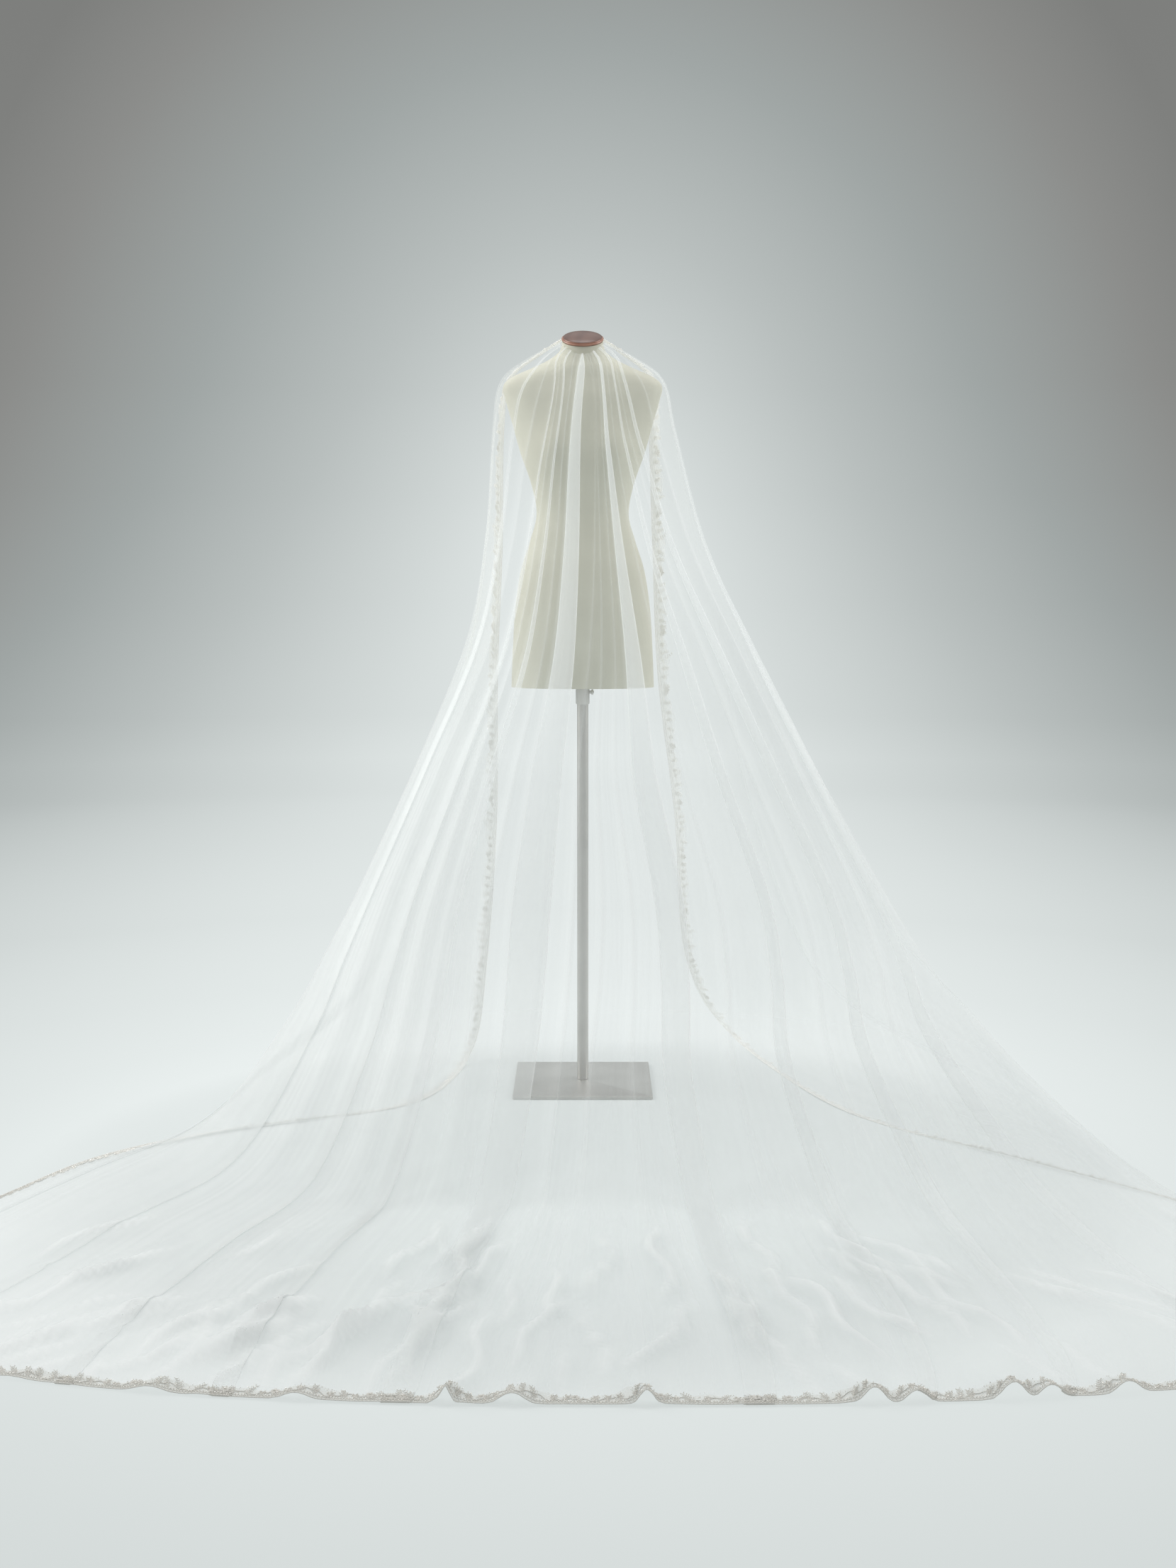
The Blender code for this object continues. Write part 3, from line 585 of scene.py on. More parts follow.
def flat_map(mesh, name, flat):
    """A UV layer from one flat place for each point."""
    layer = mesh.uv_layers.new(name=name)
    corner = np.empty(len(mesh.loops), dtype=np.int64)
    mesh.loops.foreach_get("vertex_index", corner)
    layer.data.foreach_set("uv", flat[corner].ravel())


def carried(piece, slot, *nodes):
    """The piece rides on the part's body and stands for the nodes, which are hidden; the slot is not used."""
    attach(piece, "root")
    if nodes:
        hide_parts(*nodes)
    return piece


class Finish:
    """A Principled material with short helpers for its procedural nodes."""

    def __init__(self, name, colour, roughness, **sockets):
        self.material = bpy.data.materials.new(name)
        self.material.use_nodes = True
        self.tree = self.material.node_tree
        self.shader = self.tree.nodes["Principled BSDF"]
        self.coordinates = self.tree.nodes.new("ShaderNodeTexCoord")
        for socket, value in dict(sockets, Base_Color=(*colour, 1.0), Roughness=roughness).items():
            self.shader.inputs[socket.replace("_", " ")].default_value = value

    def node(self, kind, **inputs):
        """A new node; an input is a number, a colour or another node's socket."""
        made = self.tree.nodes.new(kind)
        for name, value in inputs.items():
            self.give(made.inputs[int(name[1:]) if name[0] == "_" else name.replace("_", " ")], value)
        return made

    def give(self, socket, value):
        """A socket takes a link or a constant."""
        if isinstance(value, bpy.types.NodeSocket):
            self.tree.links.new(value, socket)
        else:
            socket.default_value = value

    def link(self, output, socket):
        """Links an output to one of the shader's own sockets."""
        self.tree.links.new(output, self.shader.inputs[socket])

    def math(self, operation, first, second=0.0, third=0.0):
        """The output of a Math node."""
        made = self.node("ShaderNodeMath", _0=first, _1=second, _2=third)
        made.operation = operation
        return made.outputs[0]

    def attribute(self, name):
        """A mesh attribute's number."""
        made = self.node("ShaderNodeAttribute")
        made.attribute_name = name
        return made.outputs["Fac"]

    def mapped(self, source, scale=(1, 1, 1), rotation=(0, 0, 0)):
        """Texture coordinates scaled and turned."""
        place = self.coordinates.outputs[source]
        return self.node("ShaderNodeMapping", Vector=place, Scale=scale, Rotation=rotation).outputs[0]

    def parts(self, vector):
        """The x, y and z of a vector."""
        return self.node("ShaderNodeSeparateXYZ", Vector=vector).outputs

    def noise(self, vector, scale, detail=3.0, roughness=0.5):
        """The factor of a Noise texture."""
        made = self.node("ShaderNodeTexNoise", Vector=vector, Scale=scale, Detail=detail, Roughness=roughness)
        return made.outputs["Fac"]

    def wave(self, vector, scale, direction, distortion=0.0):
        """The factor of a Wave texture in bands."""
        made = self.node("ShaderNodeTexWave", Vector=vector, Scale=scale, Distortion=distortion)
        made.bands_direction = direction
        return made.outputs["Fac"]

    def ramp(self, factor, *stops):
        """Colours at places of a factor."""
        made = self.node("ShaderNodeValToRGB", Fac=factor)
        elements = made.color_ramp.elements
        while len(elements) < len(stops):
            elements.new(0.5)
        for element, (at, colour) in zip(elements, stops):
            element.position = at
            element.color = (*colour, 1.0)
        return made.outputs["Color"]

    def ranged(self, value, low, high, start=0.0, end=1.0, kind="LINEAR"):
        """A value from low to high as one from start to end."""
        span = {"From_Min": low, "From_Max": high, "To_Min": start, "To_Max": end}
        made = self.node("ShaderNodeMapRange", Value=value, **span)
        made.interpolation_type = kind
        return made.outputs[0]

    def blend(self, factor, first, second):
        """A mix of two colours, each a socket or three numbers."""
        made = self.tree.nodes.new("ShaderNodeMix")
        made.data_type = "RGBA"
        for number, value in ((0, factor), (6, first), (7, second)):
            self.give(made.inputs[number], (*value, 1.0) if isinstance(value, tuple) else value)
        return made.outputs[2]

    def painted_shade_towards_hem(self, colour, low):
        """The colour, going over to a darker one along the train's hem: painted shade on the lace that lies
        on the floor.
        """
        share = self.ranged(self.parts(self.coordinates.outputs["Object"])[1], -0.95, -0.45, 0.2)
        self.link(self.blend(share, low, colour), "Base Color")

    def bump(self, height, strength, distance):
        """Bump from a height, on the shader's normal."""
        made = self.node("ShaderNodeBump", Height=height, Strength=strength, Distance=distance)
        self.link(made.outputs[0], "Normal")


def tulle_finish():
    """Sheer soft white net: its cover is a mesh attribute, its net is drawn in metres of flat cloth, and a
    painted glow, an emission read from a mesh attribute, stands in for the light that passes through the net.
    """
    made = Finish(
        "tulle_net",
        (0.83, 0.855, 0.855),
        0.62,
        Sheen_Weight=0.4,
        Sheen_Roughness=0.45,
        Specular_IOR_Level=0.25,
        Emission_Strength=0.28,
    )
    # Painted light: the tulle's emission, scaled by the glow attribute, stands in for light let through the
    # thin net.
    painted_glow = made.ramp(made.attribute("painted_glow"), (0.0, (0.03, 0.03, 0.03)), (1.0, (0.95, 0.98, 0.98)))
    made.link(painted_glow, "Emission Color")
    flat = made.mapped("UV", rotation=(0, 0, radians(45)))
    net = made.math("MAXIMUM", made.wave(flat, 260.0, "X"), made.wave(flat, 260.0, "Y"))
    share = made.math("MULTIPLY_ADD", net, 0.30, 0.80)
    made.link(made.math("MULTIPLY", made.attribute("cover"), share), "Alpha")
    soft = made.noise(made.mapped("UV"), 9.0)
    made.link(made.ramp(soft, (0.3, (0.815, 0.84, 0.84)), (0.7, (0.85, 0.875, 0.87))), "Base Color")
    made.bump(net, 0.08, 0.0003)
    return made.material


# Painted light: a faint even emission on the lace's thread, ground and beads, standing in for light the thin
# lace lets through.
LACE_PAINTED_GLOW = {"Emission_Color": (0.95, 0.945, 0.91, 1.0), "Emission_Strength": 0.07}


def thread_finish():
    """Matt silver-beige embroidery thread."""
    made = Finish("lace_thread", (0.66, 0.64, 0.58), 0.55, Sheen_Weight=0.3, **LACE_PAINTED_GLOW)
    place = made.mapped("Object")
    tint = made.ramp(made.noise(place, 60.0), (0.3, (0.84, 0.83, 0.79)), (0.7, (0.95, 0.945, 0.92)))
    # The darker colour is painted shade for the thread lying on the floor.
    made.painted_shade_towards_hem(tint, (0.55, 0.535, 0.49))
    made.bump(made.wave(place, 700.0, "DIAGONAL", 2.0), 0.5, 0.0004)
    return made.material


def ground_finish():
    """The lace's fine ground between its motifs, thinner towards its inner edge."""
    made = Finish("lace_ground", (0.72, 0.72, 0.68), 0.6, **LACE_PAINTED_GLOW)
    flat = made.mapped("UV")
    web = made.node("ShaderNodeTexVoronoi", Vector=flat, Scale=420.0)
    web.feature = "DISTANCE_TO_EDGE"
    lines = made.math("LESS_THAN", web.outputs["Distance"], 0.16)
    thin = made.ranged(made.parts(flat)[1], 0.010, 0.032, 1.2, 0.4)
    made.link(made.math("MULTIPLY", made.math("MULTIPLY_ADD", lines, 0.32, 0.26), thin), "Alpha")
    tint = made.ramp(made.noise(flat, 30.0), (0.3, (0.88, 0.88, 0.845)), (0.7, (0.95, 0.95, 0.925)))
    # The darker colour is painted shade for the ground lying on the floor.
    made.painted_shade_towards_hem(tint, (0.58, 0.565, 0.52))
    made.bump(lines, 0.4, 0.0004)
    return made.material


def bead_finish():
    """Silver-lined glass beads."""
    made = Finish("lace_beads", (0.92, 0.91, 0.87), 0.18, Coat_Weight=0.6, Coat_Roughness=0.06, **LACE_PAINTED_GLOW)
    tone = made.noise(made.mapped("Object"), 140.0, 2.0)
    tint = made.ramp(tone, (0.35, (0.84, 0.82, 0.77)), (0.6, (0.98, 0.975, 0.95)))
    # The darker colour is painted shade for the beads lying on the floor.
    made.painted_shade_towards_hem(tint, (0.66, 0.64, 0.59))
    return made.material


def linen_finish():
    """Matt ivory linen with a fine plain weave, slubs and faint handling marks."""
    made = Finish("form_linen", (0.66, 0.655, 0.555), 0.88, Sheen_Weight=0.12)
    place = made.mapped("Object")
    warp = made.wave(made.mapped("Object", (1, 0.8, 0)), 420.0, "X", 1.2)
    weave = made.math("MULTIPLY", warp, made.wave(place, 420.0, "Z", 1.2))
    slub = made.noise(made.mapped("Object", (40, 40, 700)), 1.0, 4.0)
    tone = made.ramp(made.noise(place, 6.0, 4.0), (0.3, (0.63, 0.62, 0.515)), (0.7, (0.69, 0.685, 0.58)))
    made.link(made.blend(made.math("MULTIPLY", slub, 0.28), tone, (0.56, 0.54, 0.435)), "Base Color")
    made.bump(made.math("MULTIPLY_ADD", weave, 0.7, slub), 0.22, 0.0005)
    return made.material


def wood_finish(name, dark, light):
    """Turned wood, satin and varnished, from a dark tone to a light one."""
    made = Finish(name, light, 0.34, Coat_Weight=0.4, Coat_Roughness=0.2)
    grain = made.noise(made.mapped("Object", (14, 60, 14)), 1.0, 6.0, 0.6)
    rings = made.wave(made.mapped("Object"), 9.0, "X", 5.0)
    figure = made.math("MULTIPLY_ADD", rings, 0.35, grain)
    made.link(made.ramp(figure, (0.35, dark), (0.85, light)), "Base Color")
    made.link(made.math("MULTIPLY_ADD", grain, 0.2, 0.26), "Roughness")
    made.bump(grain, 0.15, 0.0006)
    return made.material


def steel_finish(name, stretched):
    """Satin brushed steel, with fine scratches along the brushing and soft stains."""
    made = Finish(name, (0.60, 0.59, 0.565), 0.36, Metallic=0.75)
    lines = made.noise(made.mapped("Object", stretched), 1.0, 4.0, 0.65)
    stain = made.noise(made.mapped("Object"), 11.0, 4.0)
    made.link(made.math("MULTIPLY_ADD", lines, 0.22, 0.27), "Roughness")
    tone = made.math("MULTIPLY_ADD", lines, 0.5, made.math("MULTIPLY", stain, 0.5))
    made.link(made.ramp(tone, (0.3, (0.52, 0.51, 0.485)), (0.7, (0.68, 0.67, 0.645))), "Base Color")
    made.bump(lines, 0.12, 0.0003)
    return made.material


def sheet_cover(cloth, place):
    """How much the cloth covers at each point: denser low down, at turns, in folds and along creases."""
    x = cloth.points[..., 0]
    streak = waves(cloth.order + 0.12 * np.sin(place * 0.8 + cloth.order * 0.5), 31, 9, 9.0, 40.0)
    mark = np.abs(2 * cloth.offset / cloth.total[:, None] - 1)
    floor = smoothstep(place, 8.6, 10.6)
    low = smoothstep(place, 3.5, 7.5)
    flank = smoothstep(mark, 0.12, 0.45)
    left = smoothstep(-x, 0.0, 0.35)
    fan = smoothstep(place, 3.0, 6.5) * flank * left
    cover = 0.105 + (0.006 + 0.028 * low) * streak + 0.05 * low
    cover = cover + 0.04 * low * flank + 0.17 * fan + 0.11 * floor
    cover *= (1 - 0.80 * floor * cloth.inner) * (1 - 0.5 * floor * cloth.band)
    crests = sum(crease(cloth.points, *line[:4], 1.0, CREST_REACH) for line in cloth.creases)
    cover += CREST_COVER * np.clip(crests, 0, 1) * smoothstep(place, 9.6, 10.6)
    upper_flank = smoothstep(mark, 0.42, 0.55) * (1 - smoothstep(place, 4.0, 6.5))
    quiet = (1 - 0.65 * upper_flank) * (1 - 0.85 * floor)
    cover += 0.16 * cloth.band * (1 - smoothstep(place, 5.0, 8.5)) * quiet
    cover += 0.62 * cloth.turns * quiet * (1 - 0.6 * left * smoothstep(place, 3.0, 6.0))
    return np.clip(cover, *COVER_RANGE)


def build_tulle(cloth):
    """The veil as one fine open sheet, with its cover, its painted glow (emission standing in for light let
    through the net) and its flat cut's coordinates.
    """
    high, wide = cloth.points.shape[:2]
    piece = mesh_piece("veil_tulle", cloth.points, grid_faces(high, wide), tulle_finish())
    mesh = piece.data
    place = np.repeat(cloth.place[:, None], wide, axis=1)
    # Painted light: the glow is full high up and fades down the veil to nothing on the floor.
    painted_glow = 1 - 0.65 * smoothstep(place, 3.5, 7.0) - 0.35 * smoothstep(place, 7.5, 10.5)
    for name, values in (("painted_glow", painted_glow), ("cover", sheet_cover(cloth, place))):
        mesh.attributes.new(name, "FLOAT", "POINT").data.foreach_set("value", values.ravel())
    flat = np.empty((high, wide, 2))
    flat[..., 0] = summed(np.linalg.norm(np.diff(cloth.points[-1], axis=0), axis=1))[None, :]
    flat[..., 1] = summed(np.linalg.norm(np.diff(cloth.points[:, wide // 2], axis=0), axis=1))[:, None]
    flat_map(mesh, "flat_cut", flat.reshape(-1, 2))
    return carried(piece, "tulle", "veil_panel")


class Chart:
    """A strip of cloth along an edge: places by distance along the edge and distance in from it."""

    def __init__(self, points, normals):
        self.points = points
        self.normals = normals
        self.along = summed(np.linalg.norm(np.diff(points[:, 0], axis=0), axis=1))

    def place(self, along, inward, lift):
        """Points at distances along the edge and in from it, lifted off the cloth."""
        along, inward, lift = (np.asarray(item, float) for item in np.broadcast_arrays(along, inward, lift))
        index = np.interp(along, self.along, np.arange(len(self.along)))
        depth = np.clip(inward, 0, LACE_WIDTH) / LACE_WIDTH * (self.points.shape[1] - 1)
        i = np.minimum(index.astype(int), len(self.along) - 2)
        j = np.minimum(depth.astype(int), self.points.shape[1] - 2)
        a, b = (index - i)[..., None], (depth - j)[..., None]
        found = []
        for field in (self.points, self.normals):
            low = field[i, j] * (1 - b) + field[i, j + 1] * b
            high = field[i + 1, j] * (1 - b) + field[i + 1, j + 1] * b
            found.append(low * (1 - a) + high * a)
        placed = found[0] + unit(found[1]) * lift[..., None]
        placed[..., 2] = np.maximum(placed[..., 2], LACE_FLOOR)
        return placed


def lace_charts(cloth):
    """The charts of the left edge, the hem and the right edge."""
    depths = np.linspace(0, LACE_WIDTH, 11)
    rows = len(cloth.place)
    run = summed(np.linalg.norm(np.diff(cloth.points[::-1], axis=0), axis=2))
    strips = []
    for field in (cloth.points[::-1], cloth.normals[::-1]):
        index = [np.interp(depths, column, np.arange(rows)) for column in run.T]
        strips.append(np.array([between(field[:, k], at) for k, at in enumerate(index)]))
    charts = []
    for side in (0, -1):
        offset = np.repeat(depths[None, :], rows, axis=0)
        if side:
            offset = cloth.total[:, None] - offset
        points, _ = cloth.place_on(offset, 0 * offset)
        normals = unit(cloth.read(cloth.base_normals, offset))
        keep = run[:, side][::-1] > LACE_WIDTH
        charts.append(Chart(points[keep], normals[keep]))
    return charts[0], Chart(strips[0], unit(strips[1])), charts[1]


def scallop(along):
    """Depth of the lace's inner edge at distances along it: a large scallop with smaller uneven ones."""
    large = 0.5 + 0.5 * np.cos(2 * pi * along / SCALLOP_LONG)
    small = 0.5 + 0.5 * np.cos(2 * pi * along / SCALLOP_SHORT + 0.8)
    return SCALLOP[0] + SCALLOP[1] * large + SCALLOP[2] * small


class Gather:
    """Collects points and faces of many small forms into one mesh."""

    def __init__(self):
        self.points = []
        self.faces = []
        self.count = 0

    def add(self, points, faces):
        """Adds one batch of points with its faces."""
        points = np.asarray(points).reshape(-1, 3)
        self.points.append(points)
        self.faces += (np.asarray(faces) + self.count).tolist()
        self.count += len(points)

    def piece(self, name, finish, smooth=False):
        """The collected mesh as a piece."""
        made = mesh_piece(name, np.concatenate(self.points), self.faces, finish, smooth)
        return carried(made, "lace", "lace_edging")


def add_cord(gather, chart, along, inward, lift, radius, sides):
    """A cord laid on the chart, as a tube."""
    path = chart.place(along, inward, lift)
    up = unit(path - chart.place(along, inward, -0.001))
    tangent = unit(np.gradient(path, axis=0))
    side = unit(np.cross(up, tangent))
    top = unit(np.cross(tangent, side))
    turn = np.linspace(0, 2 * pi, sides, endpoint=False)
    ring = np.cos(turn)[None, :, None] * side[:, None] + np.sin(turn)[None, :, None] * top[:, None]
    points = path[:, None] + ring * radius
    first = np.arange(len(path) - 1)[:, None] * sides
    corner = first + np.arange(sides)[None, :]
    after = first + (np.arange(sides) + 1)[None, :] % sides
    gather.add(points, np.stack((corner, after, after + sides, corner + sides), axis=2).reshape(-1, 4))


def add_beads(gather, centres, radii, seed):
    """Octahedral beads, each turned its own way."""
    random = np.random.default_rng(seed)
    corners = np.array([(1, 0, 0), (-1, 0, 0), (0, 1, 0), (0, -1, 0), (0, 0, 1), (0, 0, -1)], float)
    faces = np.array([(0, 2, 4), (2, 1, 4), (1, 3, 4), (3, 0, 4), (2, 0, 5), (1, 2, 5), (3, 1, 5), (0, 3, 5)])
    number = len(centres)
    turn = random.normal(size=(number, 4))
    turn /= np.linalg.norm(turn, axis=1, keepdims=True)
    w, x, y, z = turn.T
    matrix = np.array(
        (
            (1 - 2 * (y * y + z * z), 2 * (x * y - z * w), 2 * (x * z + y * w)),
            (2 * (x * y + z * w), 1 - 2 * (x * x + z * z), 2 * (y * z - x * w)),
            (2 * (x * z - y * w), 2 * (y * z + x * w), 1 - 2 * (x * x + y * y)),
        )
    ).transpose(2, 0, 1)
    radii = np.broadcast_to(radii, number)[:, None, None]
    points = centres[:, None] + (corners @ matrix.transpose(0, 2, 1)) * radii
    index = (np.arange(number) * 6)[:, None, None] + faces[None]
    gather.add(points, index.reshape(-1, 3))


def add_leaves(gather, chart, along, inward, angle, length, width, lift):
    """Flat pointed leaves with a raised middle, laid on the chart."""
    shape = np.array([(0, 0), (0.35, 0.5), (0.75, 0.32), (1, 0), (0.75, -0.32), (0.35, -0.5), (0.5, 0)])
    forward = shape[:, 0][None] * length[:, None]
    sideways = shape[:, 1][None] * width[:, None]
    s = along[:, None] + forward * np.cos(angle)[:, None] - sideways * np.sin(angle)[:, None]
    d = inward[:, None] + forward * np.sin(angle)[:, None] + sideways * np.cos(angle)[:, None]
    points = chart.place(s, d, lift + np.array([0, 0, 0, 0, 0, 0, 0.0009]))
    faces = np.array([(6, 0, 1), (6, 1, 2), (6, 2, 3), (6, 3, 4), (6, 4, 5), (6, 5, 0)])
    index = (np.arange(len(along)) * 7)[:, None, None] + faces[None]
    gather.add(points, index.reshape(-1, 3))


def add_sprays(thread, beads, chart, random):
    """Leaf sprays that grow from the edge inwards, with a bead at each leaf's tip and root."""
    sprays = np.arange(0.010, chart.along[-1] - 0.010, SPRAY_PITCH)
    count = len(sprays)
    sprays = sprays + random.uniform(-0.003, 0.003, count)
    lean = random.uniform(-0.6, 0.6, count) + 0.35 * np.sign(np.sin(sprays * 43))
    reach = scallop(sprays) * random.uniform(0.70, 1.30, count) - 0.010
    for step in range(SPRAY_STEPS):
        share = (step + 0.4) / SPRAY_STEPS
        along = sprays + lean * reach * share**1.4 * 0.8
        inward = np.minimum(0.009 + reach * share, LACE_WIDTH - 0.004)
        way = np.arctan2(1.0, lean * 0.9)
        size = 0.0068 * (1.15 - 0.6 * share) * random.uniform(0.8, 1.2, count)
        for side in (-1, 1):
            angle = way + side * random.uniform(0.55, 0.95, count)
            add_leaves(thread, chart, along, inward, angle, size, size * 0.42, 0.0010)
            tip = np.clip(inward + size * 1.05 * np.sin(angle), 0.001, LACE_WIDTH)
            centres = chart.place(along + size * 1.05 * np.cos(angle), tip, 0.0018)
            add_beads(beads, centres, random.uniform(0.0008, 0.0014, count), 31 + step * 2 + side)
        add_beads(beads, chart.place(along, inward, 0.0016), random.uniform(0.0010, 0.0016, count), 57 + step)


def build_lace(cloth):
    """Ground, cords, leaves and beads of the lace edging."""
    ground, thread, beads = Gather(), Gather(), Gather()
    uvs = []
    for number, chart in enumerate(lace_charts(cloth)):
        length = chart.along[-1]
        random = np.random.default_rng(100 + number)
        stations = np.linspace(0, length, int(length / 0.006))
        s = np.repeat(stations[:, None], 6, axis=1)
        d = scallop(stations)[:, None] * np.linspace(0, 1, 6)[None, :]
        ground.add(chart.place(s, d, 0.0005), grid_faces(len(stations), 6))
        uvs.append(np.stack((s, d), axis=2).reshape(-1, 2))
        for depth, radius, sides in CORDS:
            add_cord(thread, chart, stations, depth, radius * 0.8, radius, sides)
        fine = np.linspace(0, length, int(length / 0.004))
        curve = 0.014 + 0.005 * np.sin(2 * pi * fine / 0.058) + 0.002 * np.sin(2 * pi * fine / 0.023)
        add_cord(thread, chart, fine, curve, 0.0012, 0.0008, 4)
        for pitch, depth, lift, radius, seed in BEAD_ROWS:
            add_beads(beads, chart.place(np.arange(0.002, length, pitch), depth, lift), radius, seed + number)
        add_sprays(thread, beads, chart, random)
        flowers = np.arange(SCALLOP_LONG / 2, length, SCALLOP_LONG)
        inward, size = np.full(len(flowers), FLOWER_DEPTH), np.full(len(flowers), 0.0085)
        for petal in range(PETALS):
            angle = np.full(len(flowers), 2 * pi * petal / PETALS + 0.3)
            add_leaves(thread, chart, flowers, inward, angle, size, size * 0.75, 0.0018)
        add_beads(beads, chart.place(flowers, FLOWER_DEPTH, 0.0030), 0.0024, 71)
        scattered = int(length * SCATTERED_PER_METRE)
        s = random.uniform(0, length, scattered)
        d = 0.006 + (scallop(s) - 0.004) * random.uniform(0, 1, scattered) ** 0.9
        centres = chart.place(s, d, random.uniform(0.0008, 0.0022, scattered))
        add_beads(beads, centres, random.uniform(0.0006, 0.0013, scattered), 81 + number)
    made = [
        ground.piece("lace_ground", ground_finish(), smooth=True),
        thread.piece("lace_thread", thread_finish()),
        beads.piece("lace_beads", bead_finish()),
    ]
    flat_map(made[0].data, "flat_lace", np.concatenate(uvs))
    return made


def torso_point(place, turn):
    """A point of the torso at a level and an angle from the middle of the front."""
    level = spread(TORSO, [place])[0]
    across, along = squircle(np.array([turn]), TORSO_ROUNDNESS)
    x = level[1] * across[0]
    y = -level[2] * along[0] if along[0] > 0 else -level[3] * along[0]
    if along[0] > 0:
        sideways = (abs(x) - BUST_SPREAD) / BUST_REACH_ACROSS
        upward = (level[0] - BUST_HEIGHT) / BUST_REACH_UP
        y -= BUST_RISE * along[0] ** 0.5 * np.exp(-(sideways**2) - upward**2)
    tilt = radians(level[4])
    return Vector((x, y * cos(tilt), level[0] + y * sin(tilt)))


def build_torso():
    """The torso as a fine shell with pressed seams and a closed underside, set a little in from its lower
    edge.
    """
    turns = 2 * pi * np.arange(TORSO_SIDES) / TORSO_SIDES
    places = (len(TORSO) - 1) * np.arange(TORSO_RINGS + 1) / TORSO_RINGS
    points = np.array([[torso_point(place, turn) for turn in turns] for place in places])
    outward = unit(points * (1, 1, 0))
    groove = np.zeros(TORSO_SIDES)
    for seam in SEAMS:
        away = np.abs((turns - seam + pi) % (2 * pi) - pi)
        groove = np.maximum(groove, np.exp(-((away / SEAM_REACH) ** 2)))
    level = np.linspace(0, 1, TORSO_RINGS + 1)[:, None]
    points -= outward * (SEAM_DEPTH * groove[None, :] * (level < SEAMS_END))[..., None]
    made = bmesh.new()
    loops = [[made.verts.new(point) for point in row] for row in points]
    pairs = list(zip(loops, loops[1:]))
    for loop, inset, drop in ((loops[0], 0.965, 0.0012), (loops[-1], 0.97, 0.0)):
        centre = sum((v.co for v in loop), Vector()) / len(loop)
        inner = [made.verts.new(centre + (v.co - centre) * inset + Vector((0, 0, drop))) for v in loop]
        pairs.append((loop, inner))
    for lower, upper in pairs:
        for number in range(TORSO_SIDES):
            after = (number + 1) % TORSO_SIDES
            made.faces.new((lower[number], lower[after], upper[after], upper[number]))
    for _, inner in pairs[-2:]:
        made.faces.new(inner)
    return carried(settled("form_torso", made, 50, linen_finish()), "linen", "torso")


def turned(name, profile, sides, finish):
    """A piece made by spinning a profile of (radius, height) points round the Z axis."""
    made = bmesh.new()
    points = [made.verts.new((radius, 0, height)) for radius, height in profile]
    edges = [made.edges.new(pair) for pair in zip(points, points[1:])]
    spin = {"cent": (0, 0, 0), "axis": (0, 0, 1), "angle": 2 * pi, "steps": sides, "use_merge": True}
    bmesh.ops.spin(made, geom=points + edges, **spin)
    bmesh.ops.remove_doubles(made, verts=made.verts, dist=1e-6)
    return settled(name, made, 38, finish)


def build_cap():
    """The neck cap: a low dome on a rounded rim with a turned groove, square to the tilted neck."""
    profile = [(0, 0.0148)]
    for step in range(9, -1, -1):
        turn = pi / 2 * step / 10
        profile.append(((CAP_RADIUS - 0.002) * cos(turn), 0.0063 + 0.0085 * sin(turn)))
    rim = (
        (-0.0032, 0.0060),
        (-0.0020, 0.0055),
        (0.0002, 0.0052),
        (0.0010, 0.0040),
        (0.0010, 0.0027),
        (0.0002, 0.0014),
        (-0.0015, 0.0003),
    )
    profile += [(CAP_RADIUS + out, height) for out, height in rim] + [(0, 0.0003)]
    dome = wood_finish("cap_wood", (0.135, 0.070, 0.055), (0.19, 0.105, 0.082))
    piece = turned("cap_turned", profile, 72, dome)
    piece.data.materials.append(wood_finish("cap_rim", (0.36, 0.17, 0.12), (0.46, 0.24, 0.17)))
    for polygon in piece.data.polygons:
        polygon.material_index = int(Vector(polygon.center[:2]).length > CAP_GROOVE)
    top = TORSO[-1]
    piece.data.transform(Matrix.Translation((0, 0, top[0])) @ Matrix.Rotation(radians(top[4]), 4, "X"))
    return carried(piece, "wood", "neck_cap")


